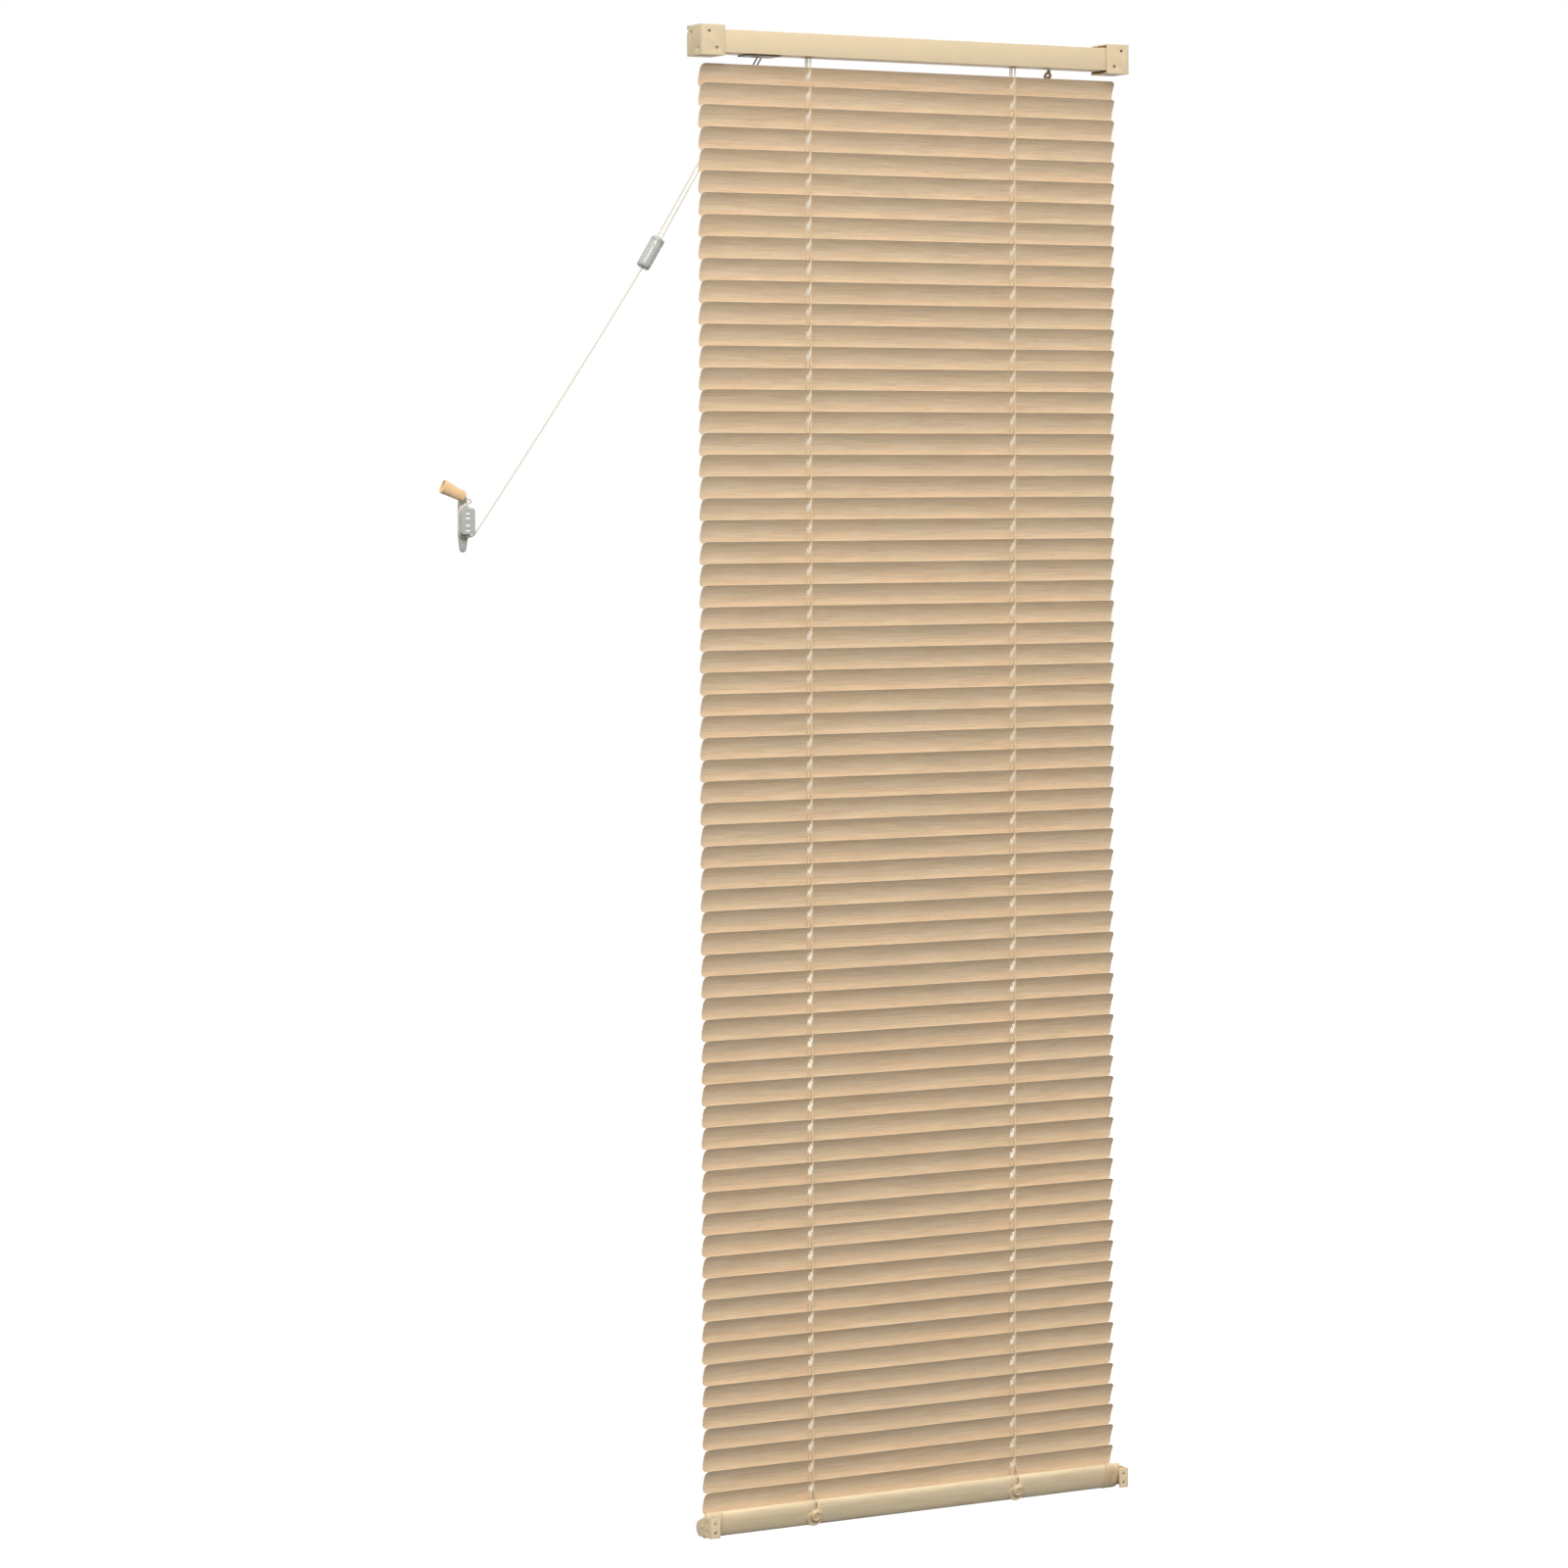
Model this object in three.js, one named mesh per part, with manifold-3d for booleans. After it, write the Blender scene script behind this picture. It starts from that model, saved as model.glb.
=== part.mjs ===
// A 25 mm venetian blind, 500 x 1500 mm, lowered and closed, with its brackets, cords and cleat.
// Frame: the origin is mid-width on the wall plane, level with the tops of the box brackets.
// X runs along the headrail, Y from the wall into the room, Z up. Millimetres.
// Every slat is tipped so that its upper edge is towards the wall.

import * as THREE from 'three';
import { mergeVertices } from 'three/addons/utils/BufferGeometryUtils.js';
import Module from 'manifold-3d';

const wasm = await Module();
wasm.setup();

// ---------- driving dimensions ----------

const WIDTH = 500; // over the two box brackets
const GAP = 0.3; // kept between pieces that touch
const PIN = { r: 0.8, hole: 1.15 };

const BRACKET = { length: 26.5, depth: 30, height: 30, wall: 1.2, screw: 1.9 };
const HEADRAIL = { length: 496, back: 2.8, depth: 25, top: -4.2, height: 22.6, wall: 0.8, lip: 3 };
const HINGE = { y: 28.3, z: -2.2, barrel: 1.55 };

const TILT = THREE.MathUtils.degToRad(71); // slats, closed
const SLAT = { count: 67, length: 485, width: 25, thick: 0.45, crown: 2, corner: 4, pitch: 21.55, y: 18.2 };
const FIRST_SLAT_Z = -48.6;
const SECOND_SLAT_Z = -67.2;
const PER_SECTION = 7;
const SLOT = { length: 4.4, width: 8 };

const LADDER = { x: 120, string: 0.9, front: 12.8, back: 22.5 };
const LIFT_CORD = { y: 18.85, r: 0.55 };

const ROD = { y: 15.5, z: -13, r: 2.6, x0: -135, x1: 192 };
const DRUM = { r: 6.5, length: 11 };
const TILTER = { x: 172, lean: THREE.MathUtils.degToRad(23), gearR: 6, wormR: 1.9, stemR: 1.4, nose: 3.2 };
const EYE = { y: 33, z: -32.5, r: 4.5, hole: 2.5, thick: 2 };
const HOOK = { r: 2.9, wire: 0.7, shank: 5.6, sleeve: 2.1 };
const WAND = { length: 700, r: 2.9, tip: 9 };

const LOCK = { x0: -186, x1: -159, y0: 20.6, y1: 26.3, top: -8.5, rollerX: -163, rollerZ: -17.3 };
const CORD_R = 0.7;
const RUN_Z = -22;
const CORD_Y = [22.7, 24.65];
const EXIT_X = [-175, -169.5];

const CONDENSER = { x: -295, y: 23.2, z: -224.3, length: 33.6, r: 7 };
const CONDENSER_LEAN = THREE.MathUtils.degToRad(32.3);
const CLEAT = { x: -505, z: -486, baseWidth: 14.5, baseHalf: 12.5, neckHalf: 14, neckR: 3.5, horn: 30 };
const TASSEL = { small: [-506.9, 4.8, -462.9], large: [-530, 4.8, -452.3], r0: 5.2, r1: 7, flat: 0.62, wall: 1.3 };

const RAIL = { x: 3.5, z: -489.8 - 1000, halfWidth: 13.8, halfThick: 4.8, wall: 1, half: 227.7, capEnd: 245.8 };
const PLUG = { r: 8.5, stem: 4.5, offset: 3, boss: 5.3, rise: 3 };
const HOLD_DOWN = { gap: 0.8, sheet: 1, flange: 10.6, reach: 32, halfHeight: 10.2 };

// ---------- materials ----------

const finish = (color, roughness, metalness = 0) =>
  new THREE.MeshStandardMaterial({ color, roughness, metalness });
const creamPaint = finish(0xe8d3ae, 0.45);
const woodVinyl = finish(0xc9ad84, 0.6);
const braid = finish(0xf3e4c8, 0.9);
const clearPlastic = finish(0xb9bab4, 0.25);
const whiteNylon = finish(0xe9e6dc, 0.5);
const tanNylon = finish(0x9c8266, 0.45);
const zinc = finish(0x9c9a94, 0.4, 0.8);

// ---------- solids ----------

// A closed three.js geometry as a solid, turned right side out if its faces point inwards.
function solidOf(geometry) {
  const bare = geometry.clone();
  bare.deleteAttribute('normal');
  bare.deleteAttribute('uv');
  const merged = mergeVertices(bare, 1e-4);
  const at = merged.attributes.position;
  const index = Array.from(merged.index.array);
  const corner = (i) => new THREE.Vector3().fromBufferAttribute(at, index[i]);
  let volume = 0;
  for (let i = 0; i < index.length; i += 3) {
    volume += corner(i).dot(corner(i + 1).cross(corner(i + 2)));
  }
  if (volume < 0) {
    index.reverse();
  }
  return new wasm.Manifold(new wasm.Mesh({
    numProp: 3,
    vertProperties: new Float32Array(at.array),
    triVerts: new Uint32Array(index),
  }));
}

function geometryOf(solid) {
  const mesh = solid.getMesh();
  const geometry = new THREE.BufferGeometry();
  geometry.setAttribute('position', new THREE.BufferAttribute(new Float32Array(mesh.vertProperties), 3));
  geometry.setIndex(new THREE.BufferAttribute(new Uint32Array(mesh.triVerts), 1));
  return geometry;
}

const join = (...solids) => solids.reduce((a, b) => a.add(b));
const cut = (solid, ...tools) => tools.reduce((a, b) => a.subtract(b), solid);
const moved = (solid, x, y, z) => solid.transform(new THREE.Matrix4().makeTranslation(x, y, z).elements);
const turnedX = (solid, angle) => solid.transform(new THREE.Matrix4().makeRotationX(angle).elements);
const turnedY = (solid, angle) => solid.transform(new THREE.Matrix4().makeRotationY(angle).elements);

// A block between two limits on each axis, given in either order.
function block(xs, ys, zs) {
  const [size, centre] = [[], []];
  for (const [a, b] of [xs, ys, zs]) {
    size.push(Math.abs(b - a));
    centre.push((a + b) / 2);
  }
  return solidOf(new THREE.BoxGeometry(...size).translate(...centre));
}

// Which way a drawn outline's own x, y and depth point.
const AXES = {
  x: new THREE.Matrix4().set(0, 0, 1, 0, 1, 0, 0, 0, 0, 1, 0, 0, 0, 0, 0, 1),
  y: new THREE.Matrix4().set(1, 0, 0, 0, 0, 0, -1, 0, 0, 1, 0, 0, 0, 0, 0, 1),
  z: new THREE.Matrix4(),
};

// An outline pushed along an axis. It is drawn as (y, z) for x, (x, z) for y and (x, y) for z.
function prism(axis, outline, from, to, holes = []) {
  const shape = new THREE.Shape(outline.map((p) => new THREE.Vector2(...p)));
  shape.holes = holes.map((hole) => new THREE.Path(hole.map((p) => new THREE.Vector2(...p))));
  const geometry = new THREE.ExtrudeGeometry(shape, { depth: Math.abs(to - from), bevelEnabled: false });
  const start = axis === 'y' ? -Math.max(from, to) : Math.min(from, to);
  return solidOf(geometry.translate(0, 0, start).applyMatrix4(AXES[axis]));
}

function circle([cx, cy], r, sides = 10, phase = 0) {
  return Array.from({ length: sides }, (_, i) => {
    const a = phase + (2 * Math.PI * i) / sides;
    return [cx + r * Math.cos(a), cy + r * Math.sin(a)];
  });
}

// Two half circles joined by straight sides, standing upright.
function stadium(r, half, sides = 6) {
  const end = (centre, phase) => Array.from({ length: sides + 1 }, (_, i) => {
    const a = phase + (Math.PI * i) / sides;
    return [r * Math.cos(a), centre + r * Math.sin(a)];
  });
  return [...end(half - r, 0), ...end(r - half, Math.PI)];
}

// A round bar of few sides along an axis; centre is given on the other two axes, in order.
const bar = (axis, centre, r, from, to, sides = 8) => prism(axis, circle(centre, r, sides), from, to);

// A turned piece about Z, from (radius, height) points that close on themselves.
function turned(profile, sides = 12) {
  const loop = [...profile, profile[0]].map((p) => new THREE.Vector2(...p));
  return solidOf(new THREE.LatheGeometry(loop, sides).rotateX(Math.PI / 2));
}

// A path that bends only at its own points.
class Route extends THREE.Curve {
  constructor(points) {
    super();
    this.points = points.map((p) => new THREE.Vector3(...p));
  }

  getPoint(t, target = new THREE.Vector3()) {
    const at = THREE.MathUtils.clamp(t, 0, 1) * (this.points.length - 1);
    const i = Math.min(Math.floor(at), this.points.length - 2);
    return target.lerpVectors(this.points[i], this.points[i + 1], at - i);
  }

  getUtoTmapping(u) {
    return u;
  }
}

// A cord of eight sides through the points.
function cordAlong(points) {
  const shape = new THREE.Shape(circle([0, 0], CORD_R, 8).map((p) => new THREE.Vector2(...p)));
  return solidOf(new THREE.ExtrudeGeometry(shape, { steps: points.length - 1, extrudePath: new Route(points) }));
}

function named(name, solid, material) {
  const mesh = new THREE.Mesh(geometryOf(solid), material);
  mesh.name = name;
  return mesh;
}

const SIDES = [['left', -1], ['right', 1]];

// ---------- headrail and its brackets ----------

function headrail() {
  const { back, depth, top, height, wall, lip, length } = HEADRAIL;
  const [front, floor] = [back + depth, top - height];
  const channel = prism('x', [
    [back, floor], [front, floor], [front, top], [front - lip, top], [front - lip, top - wall],
    [front - wall, top - wall], [front - wall, floor + wall], [back + wall, floor + wall],
    [back + wall, top - wall], [back + lip, top - wall], [back + lip, top], [back, top],
  ], -length / 2, length / 2);
  const through = [floor - 1, floor + wall + 1];
  const lockHole = block([LOCK.x0 - 0.4, LOCK.x1 + 0.4], [LOCK.y0 - 0.4, LOCK.y1 + 0.4], through);
  const noseNotch = block(
    [TILTER.x - TILTER.nose - 0.4, TILTER.x + TILTER.nose + 0.4], [front - wall - 0.5, front + 1], [floor - 1, -12.8]);
  const ladderHoles = SIDES.map(([, side]) =>
    block([side * LADDER.x - 5, side * LADDER.x + 5], [10.5, 24.5], through));
  return cut(channel, lockHole, noseNotch, ...ladderHoles);
}

// A box open towards the middle of the blind and towards the room.
function bracket(side) {
  const { length, height, wall, screw } = BRACKET;
  const outer = (side * WIDTH) / 2;
  const inner = outer - side * length;
  const at = (distance) => outer - side * distance;
  const box = join(
    block([inner, outer], [0, wall], [-height, 0]),
    block([outer, at(wall)], [0, 28.5], [-height, 0]),
    block([inner, outer], [0, 26.2], [-wall, 0]),
    block([inner, outer], [0, 28.5], [-height, wall - height]),
  );
  const seats = [7, 18].map((d) => block([at(d), at(d + 3)], [1, 27], [-29, HEADRAIL.top - HEADRAIL.height - GAP]));
  const rib = block([at(18), at(21)], [1, HEADRAIL.back - GAP], [-24, -8]);
  const ears = [0, length - wall].map((d) => block([at(d), at(d + wall)], [25, 29.9], [-3.9, 0]));
  const pinHole = bar('x', [HINGE.y, HINGE.z], PIN.hole, inner - side, outer + side);
  const screws = [[9, -7, 22], [17.5, -23, 7]].flatMap(([d, z, y]) => [
    bar('y', [at(d), z], screw, -1, 2),
    bar('x', [y, z], screw, at(-1), at(2)),
    bar('z', [at(d), -z], screw, -2, 1),
  ]);
  return cut(join(box, ...seats, rib, ...ears), pinHole, ...screws);
}

// The front cover of a bracket, which swings out and up on its pin.
function bracketDoor(side) {
  const outer = (side * WIDTH) / 2;
  const at = (distance) => outer - side * distance;
  const [near, far] = [1.5, 25];
  const plate = join(
    block([outer, at(BRACKET.length)], [28.8, 30], [-30, -7]),
    block([at(near), at(far)], [28.8, 30], [-7.5, -4]),
    block([at(near), at(far)], [28.8, 29.8], [-4.5, -2.4]),
    bar('x', [HINGE.y, HINGE.z], HINGE.barrel, at(near), at(far), 12),
  );
  return cut(plate, bar('x', [HINGE.y, HINGE.z], PIN.hole, at(near - 1), at(far + 1)));
}

const hingePin = (side) =>
  bar('x', [HINGE.y, HINGE.z], PIN.r, side * 249.9, side * (WIDTH / 2 - BRACKET.length + 0.1));

// ---------- tilt mechanism ----------

const tiltRod = () => prism('x', circle([ROD.y, ROD.z], ROD.r, 6), ROD.x0, ROD.x1);
const rodBore = (x0, x1) => prism('x', circle([ROD.y, ROD.z], ROD.r + GAP + 0.05, 6), x0, x1);

function tiltDrum(side) {
  const x = side * LADDER.x;
  const half = DRUM.length / 2;
  const drum = join(
    bar('x', [ROD.y, ROD.z], DRUM.r - 1.2, x - half, x + half, 14),
    bar('x', [ROD.y, ROD.z], DRUM.r, x - half, x - half + 1.2, 14),
    bar('x', [ROD.y, ROD.z], DRUM.r, x + half - 1.2, x + half, 14),
  );
  return cut(drum, rodBore(x - half - 1, x + half + 1));
}

// A tray that carries the rod on either side of the drum; the cords pass through its floor.
function drumCradle(side) {
  const x = side * LADDER.x;
  const [floor, wall] = [-25.7, 1];
  const tray = join(
    block([x - 9, x + 9], [4.5, 26.3], [floor, floor + wall]),
    block([x - 9, x - 9 + wall], [4.5, 26.3], [floor, -7]),
    block([x + 9 - wall, x + 9], [4.5, 26.3], [floor, -7]),
  );
  const floorHole = block([x - 3.5, x + 3.5], [10.5, 24.2], [floor - 1, floor + wall + 1]);
  const rodNotch = block([x - 10, x + 10], [12.4, 18.6], [-16.4, 0]);
  const cordNotch = block([x - 10, x + 10], [16, 24.2], [-23.8, -20]);
  return cut(tray, floorHole, rodNotch, cordNotch);
}

function tiltGear() {
  const teeth = 12;
  const outline = Array.from({ length: teeth * 2 }, (_, i) => {
    const a = (Math.PI * i) / teeth;
    const r = i % 2 ? TILTER.gearR : TILTER.gearR - 1.1;
    return [ROD.y + r * Math.cos(a), ROD.z + r * Math.sin(a)];
  });
  const [x0, x1] = [TILTER.x - 3, TILTER.x + 3];
  return cut(prism('x', outline, x0, x1), rodBore(x0 - 1, x1 + 1));
}

// The stem leans out of the headrail, so that what hangs from its eye clears the rail's front.
const placeStem = (solid) => moved(turnedX(solid, TILTER.lean), TILTER.x, EYE.y, EYE.z);
const MESH_AT = (EYE.y - ROD.y) * Math.sin(TILTER.lean) + (ROD.z - EYE.z) * Math.cos(TILTER.lean);

function tiltWorm() {
  const eye = cut(
    bar('y', [0, 0], EYE.r, -EYE.thick / 2, EYE.thick / 2, 14),
    bar('y', [0, 0], EYE.hole, -EYE.thick, EYE.thick, 12),
  );
  const stem = bar('z', [0, 0], TILTER.stemR, EYE.r - 0.6, MESH_AT + 3.6, 10);
  const worm = bar('z', [0, 0], TILTER.wormR, MESH_AT - 4, MESH_AT + 3.6, 10);
  return placeStem(join(stem, worm, eye));
}

function tilterHousing() {
  const [x0, x1, floor, top] = [TILTER.x - 14, TILTER.x + 14, -25.7, -6.5];
  const { nose } = TILTER;
  const shell = cut(
    block([x0, x1], [4.5, 26.7], [floor, top]),
    block([x0 + 1, x1 - 1], [5.5, 24.8], [floor + 1, top + 1]),
  );
  const snout = block([TILTER.x - nose, TILTER.x + nose], [24.5, 28.6], [floor, -13.2]);
  const stemBore = bar('z', [0, 0], TILTER.stemR + 0.4, 0, 40, 12);
  const wormBore = bar('z', [0, 0], TILTER.wormR + 0.4, MESH_AT - 4.4, 40, 12);
  const rodHoles = bar('x', [ROD.y, ROD.z], 3.4, x0 - 1, x1 + 1, 10);
  return cut(join(shell, snout), placeStem(join(stemBore, wormBore)), rodHoles);
}

// Where the hook's loop rests on the lower rim of the eye: the wand hangs plumb below this point.
const rim = (EYE.r + EYE.hole) / 2;
const HANG = { y: EYE.y + rim * Math.sin(TILTER.lean), z: EYE.z - rim * Math.cos(TILTER.lean) };
const hung = (solid) => moved(solid, TILTER.x, HANG.y, HANG.z);
const SHANK_END = -HOOK.r - HOOK.shank;

function wandHook() {
  const loop = turned(circle([HOOK.r, 0], HOOK.wire, 6), 14);
  const shank = bar('z', [0, 0], 0.8, SHANK_END, GAP - HOOK.r, 6);
  return hung(join(turnedY(loop, Math.PI / 2), shank));
}

const hookSleeve = () => hung(cut(
  bar('z', [0, 0], HOOK.sleeve, SHANK_END + 0.4, SHANK_END + 4.4, 12),
  bar('z', [0, 0], 1.2, SHANK_END - 1, 0, 10),
));

const wand = () => hung(prism(
  'z', circle([0, 0], WAND.r, 6, Math.PI / 6), SHANK_END - GAP - WAND.length, SHANK_END - GAP));

function wandTip() {
  const tip = turned([[0, -WAND.tip], [2, -WAND.tip], [3.1, 2 - WAND.tip], [3.1, 0], [0, 0]], 10);
  return hung(moved(tip, 0, 0, SHANK_END - WAND.length - 2 * GAP));
}

// ---------- cord lock ----------

const ROLLER_Y = [21.9, 25.4];
const ARC = { r: 4.1, from: Math.PI / 3, steps: 5 };
const BRAKE = { x: -174, z: -14.5, r: 2.4, travel: 3.2 };

function cordLockHousing() {
  const { x0, x1, y0, y1, top } = LOCK;
  const floor = HEADRAIL.top - HEADRAIL.height - GAP;
  const body = join(
    block([x0, x1], [y0, y0 + 1], [floor - 1, top]),
    block([x0, x1], [y1 - 0.6, y1], [floor - 1, top]),
    block([x0, x0 + 1.5], [y0, y1], [floor - 1, top]),
    block([-195, -157.5], [6, 27], [floor - 1.4, floor]),
  );
  const mouth = block([-181, -164.5], [y0 + 1.05, y1 - 0.6], [floor - 3, floor + 1]);
  const track = block([BRAKE.x - 1.3, BRAKE.x + BRAKE.travel + 1.3], [0, 30], [BRAKE.z - 1.15, BRAKE.z + 1.15]);
  const guidePin = bar('y', [LOCK.rollerX, LOCK.rollerZ], PIN.r, y0 + 0.5, y1 - 0.3);
  return join(cut(body, mouth, track), guidePin);
}

function lockGuideRoller() {
  const centre = [LOCK.rollerX, LOCK.rollerZ];
  return cut(bar('y', centre, 3, ...ROLLER_Y, 14), bar('y', centre, PIN.hole + 0.05, 0, 40));
}

function lockBrakeRoller() {
  const centre = [BRAKE.x, BRAKE.z];
  const teeth = Array.from({ length: 20 }, (_, i) => {
    const a = (Math.PI * i) / 10;
    const r = i % 2 ? BRAKE.r : BRAKE.r - 0.4;
    return [centre[0] + r * Math.cos(a), centre[1] + r * Math.sin(a)];
  });
  return join(prism('y', teeth, ...ROLLER_Y), bar('y', centre, PIN.r, LOCK.y0 + 0.3, LOCK.y1 - 0.2));
}

// A lift cord's way along the headrail, from above its ladder to the mouth of the lock.
function cordRun(which) {
  const side = which === 0 ? -1 : 1;
  const y = CORD_Y[which];
  const x = side * LADDER.x;
  const start = [
    [x, LIFT_CORD.y, -24.4], [x - 0.5, LIFT_CORD.y, -23], [x - 1.9, LIFT_CORD.y, RUN_Z - 0.1],
  ];
  const across = which === 0
    ? [[-129, 19.2, RUN_Z]]
    : [[60, 19.4, RUN_Z], [0, 19.9, RUN_Z], [-60, 20.4, RUN_Z], [-112, 20.6, RUN_Z], [-129, 21.1, RUN_Z]];
  const arc = Array.from({ length: ARC.steps + 1 }, (_, i) => {
    const a = ARC.from + ((Math.PI - ARC.from) * i) / ARC.steps;
    return [LOCK.rollerX + ARC.r * Math.cos(a), y, LOCK.rollerZ + ARC.r * Math.sin(a)];
  });
  const points = [...start, ...across, [-140, (y + across.at(-1)[1]) / 2, RUN_Z], [-149, y, -20.6], ...arc];
  const exit = [EXIT_X[which], y, -28.5];
  return cordAlong([...points, exit]);
}

// ---------- slats and ladders ----------

// A slat lying flat, crown up, with its centre at the origin.
function flatSlat() {
  const { length, width, thick, crown, corner } = SLAT;
  const facets = 3;
  const rise = (w) => crown / 2 - (crown * w * w) / ((width * width) / 4);
  const under = Array.from({ length: facets + 1 }, (_, i) => {
    const w = (width * i) / facets - width / 2;
    return [w, rise(w)];
  });
  const over = under.map(([w, v]) => [w, v + thick]).reverse();
  const strip = prism('x', [...under, ...over], -length / 2, length / 2);
  const [end, edge] = [length / 2, width / 2];
  const snips = [[1, 1], [1, -1], [-1, 1], [-1, -1]].map(([i, j]) => prism('z', [
    [i * (end - corner), j * (edge + 1)], [i * (end - corner), j * edge], [i * (end - 1.2), j * (edge - 1.2)],
    [i * end, j * (edge - corner)], [i * (end + 1), j * (edge - corner)], [i * (end + 1), j * (edge + 1)],
  ], -5, 5));
  const slots = SIDES.map(([, side]) => block(
    [side * LADDER.x - SLOT.length / 2, side * LADDER.x + SLOT.length / 2],
    [-SLOT.width / 2, SLOT.width / 2], [-5, 5]));
  return cut(strip, ...snips, ...slots);
}

const closedSlat = turnedX(flatSlat(), -TILT);
const slatZ = (i) => (i === 0 ? FIRST_SLAT_Z : SECOND_SLAT_Z - (i - 1) * SLAT.pitch);
const sectionFrom = (k) => k * PER_SECTION;
const sectionTo = (k) => Math.min((k + 1) * PER_SECTION, SLAT.count) - 1;
const SECTIONS = Math.ceil(SLAT.count / PER_SECTION);

// Slats held together by the wall-side strings of the two ladders.
function slatSection(k) {
  const [from, to] = [sectionFrom(k), sectionTo(k)];
  const slats = [];
  for (let i = from; i <= to; i += 1) {
    slats.push(moved(closedSlat, 0, SLAT.y, slatZ(i)));
  }
  const overhang = SLAT.pitch - 8.5;
  const top = k === 0 ? -19.4 : slatZ(from) + overhang - 0.5;
  const bottom = k === SECTIONS - 1 ? RAIL.z + 13.6 : slatZ(to + 1) + overhang;
  const half = LADDER.string / 2;
  const strings = SIDES.map(([, side]) => block(
    [side * LADDER.x - half, side * LADDER.x + half], [LADDER.front - half, LADDER.front + half], [bottom, top]));
  return join(...slats, ...strings);
}

function ladderBack(side) {
  const half = LADDER.string / 2;
  return block(
    [side * LADDER.x - half, side * LADDER.x + half],
    [LADDER.back - half, LADDER.back + half], [RAIL.z + 8, -19.4]);
}

const liftCord = (side) => bar('z', [side * LADDER.x, LIFT_CORD.y], LIFT_CORD.r, RAIL.z + 1.8, -25.4, 6);

// ---------- bottom rail ----------

// The rail's section lying flat, drawn as (across, up): an oval with squared shoulders.
function oval(halfWidth, halfThick, sides = 16) {
  const bulge = (c) => Math.sign(c) * Math.abs(c) ** (2 / 2.4);
  return Array.from({ length: sides }, (_, i) => {
    const a = (2 * Math.PI * (i + 0.5)) / sides;
    return [halfWidth * bulge(Math.cos(a)), halfThick * bulge(Math.sin(a))];
  });
}

const closedRail = (flat) => moved(turnedX(flat, -TILT), 0, SLAT.y, RAIL.z);

function bottomRail() {
  const { halfWidth, halfThick, wall, half } = RAIL;
  const tube = prism('x', oval(halfWidth, halfThick), RAIL.x - half, RAIL.x + half, [oval(halfWidth - wall, halfThick - wall)]);
  const cuts = SIDES.flatMap(([, side]) => {
    const x = side * LADDER.x;
    return [
      block([x - 1.5, x + 1.5], [-10.8, 2], [1, 8]),
      bar('z', [x, PLUG.offset], PLUG.stem + GAP * 1.6, -8, -1, 12),
    ];
  });
  return closedRail(cut(tube, ...cuts));
}

function endCap(side) {
  const { halfWidth, halfThick, wall, half, capEnd } = RAIL;
  const span = (from, to) => [RAIL.x + side * from, RAIL.x + side * to];
  const collar = prism('x', oval(halfWidth + 0.5, halfThick + 0.5), ...span(half + GAP, capEnd));
  const tongue = prism(
    'x', oval(halfWidth - wall - GAP * 1.3, halfThick - wall - GAP * 1.3), ...span(half - 6, half + 2));
  const slot = block(
    span(capEnd - 6, capEnd + 1), [SLAT.y - 1.75, SLAT.y + 1.75], [RAIL.z - 20, RAIL.z + 1.75]);
  return cut(closedRail(join(collar, tongue)), slot);
}

// A stepped button pushed into the underside of the rail, which hides the cord's knot.
function railPlug(side) {
  const skin = -RAIL.halfThick - GAP * 1.1;
  const button = turned([
    [0, skin + 2.4], [PLUG.stem, skin + 2.4], [PLUG.stem, skin], [PLUG.r, skin], [PLUG.r, skin - 1.2],
    [PLUG.r - 0.8, skin - 1.9], [0, skin - 1.9],
  ], 16);
  const boss = bar('z', [0, -PLUG.rise], PLUG.boss, skin - 4.2, skin - 1, 14);
  return closedRail(moved(join(button, boss), side * LADDER.x, PLUG.offset, 0));
}

const cordKnot = (side) => moved(
  solidOf(new THREE.SphereGeometry(1.5, 8, 6)), side * LADDER.x, LIFT_CORD.y, RAIL.z);

// ---------- hold-down brackets ----------

// A pressed angle at each end: the cheek stands outside the end cap, the flange turns inwards along the wall.
const cheekX = (side) => RAIL.x + side * (RAIL.capEnd + HOLD_DOWN.gap);

function holdDown(side) {
  const { sheet, flange, reach, halfHeight } = HOLD_DOWN;
  const inner = cheekX(side);
  const outer = inner + side * sheet;
  const [low, high] = [RAIL.z - halfHeight, RAIL.z + halfHeight];
  const tip = circle([reach - 8.5, RAIL.z - 3.5], 8.5, 14).filter(([y]) => y > reach - 8.6);
  const cheek = prism('x', [[0, low], [13, low], ...tip.sort((a, b) => a[1] - b[1]), [14, high], [0, high]], inner, outer);
  const plate = block([outer, outer - side * flange], [0, sheet], [low, high]);
  const holes = [-4.5, 4.5].flatMap((dz) => [
    bar('y', [outer - (side * flange) / 2, RAIL.z + dz], 1.6, -1, 2),
    bar('x', [9.4, RAIL.z + dz], 1.6, inner - 2, inner + 2),
  ]);
  const pinHole = bar('x', [SLAT.y, RAIL.z], 1.75, inner - 2, inner + 2);
  return cut(join(cheek, plate), ...holes, pinHole);
}

const holdDownPin = (side) => join(
  bar('x', [SLAT.y, RAIL.z], 1.4, cheekX(side) - side * 4.6, cheekX(side) + side * 1.8),
  bar('x', [SLAT.y, RAIL.z], 2.2, cheekX(side) + side * 1.3, cheekX(side) + side * 2.1),
);

// ---------- pull cords, condenser, cleat and tassel ----------

const placeCondenser = (solid) => moved(
  turnedY(solid, CONDENSER_LEAN), CONDENSER.x, CONDENSER.y, CONDENSER.z);
const condenserPoint = (across, along) => {
  const [s, c] = [Math.sin(CONDENSER_LEAN), Math.cos(CONDENSER_LEAN)];
  return [CONDENSER.x + across * c + along * s, CONDENSER.y, CONDENSER.z - across * s + along * c];
};

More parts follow.
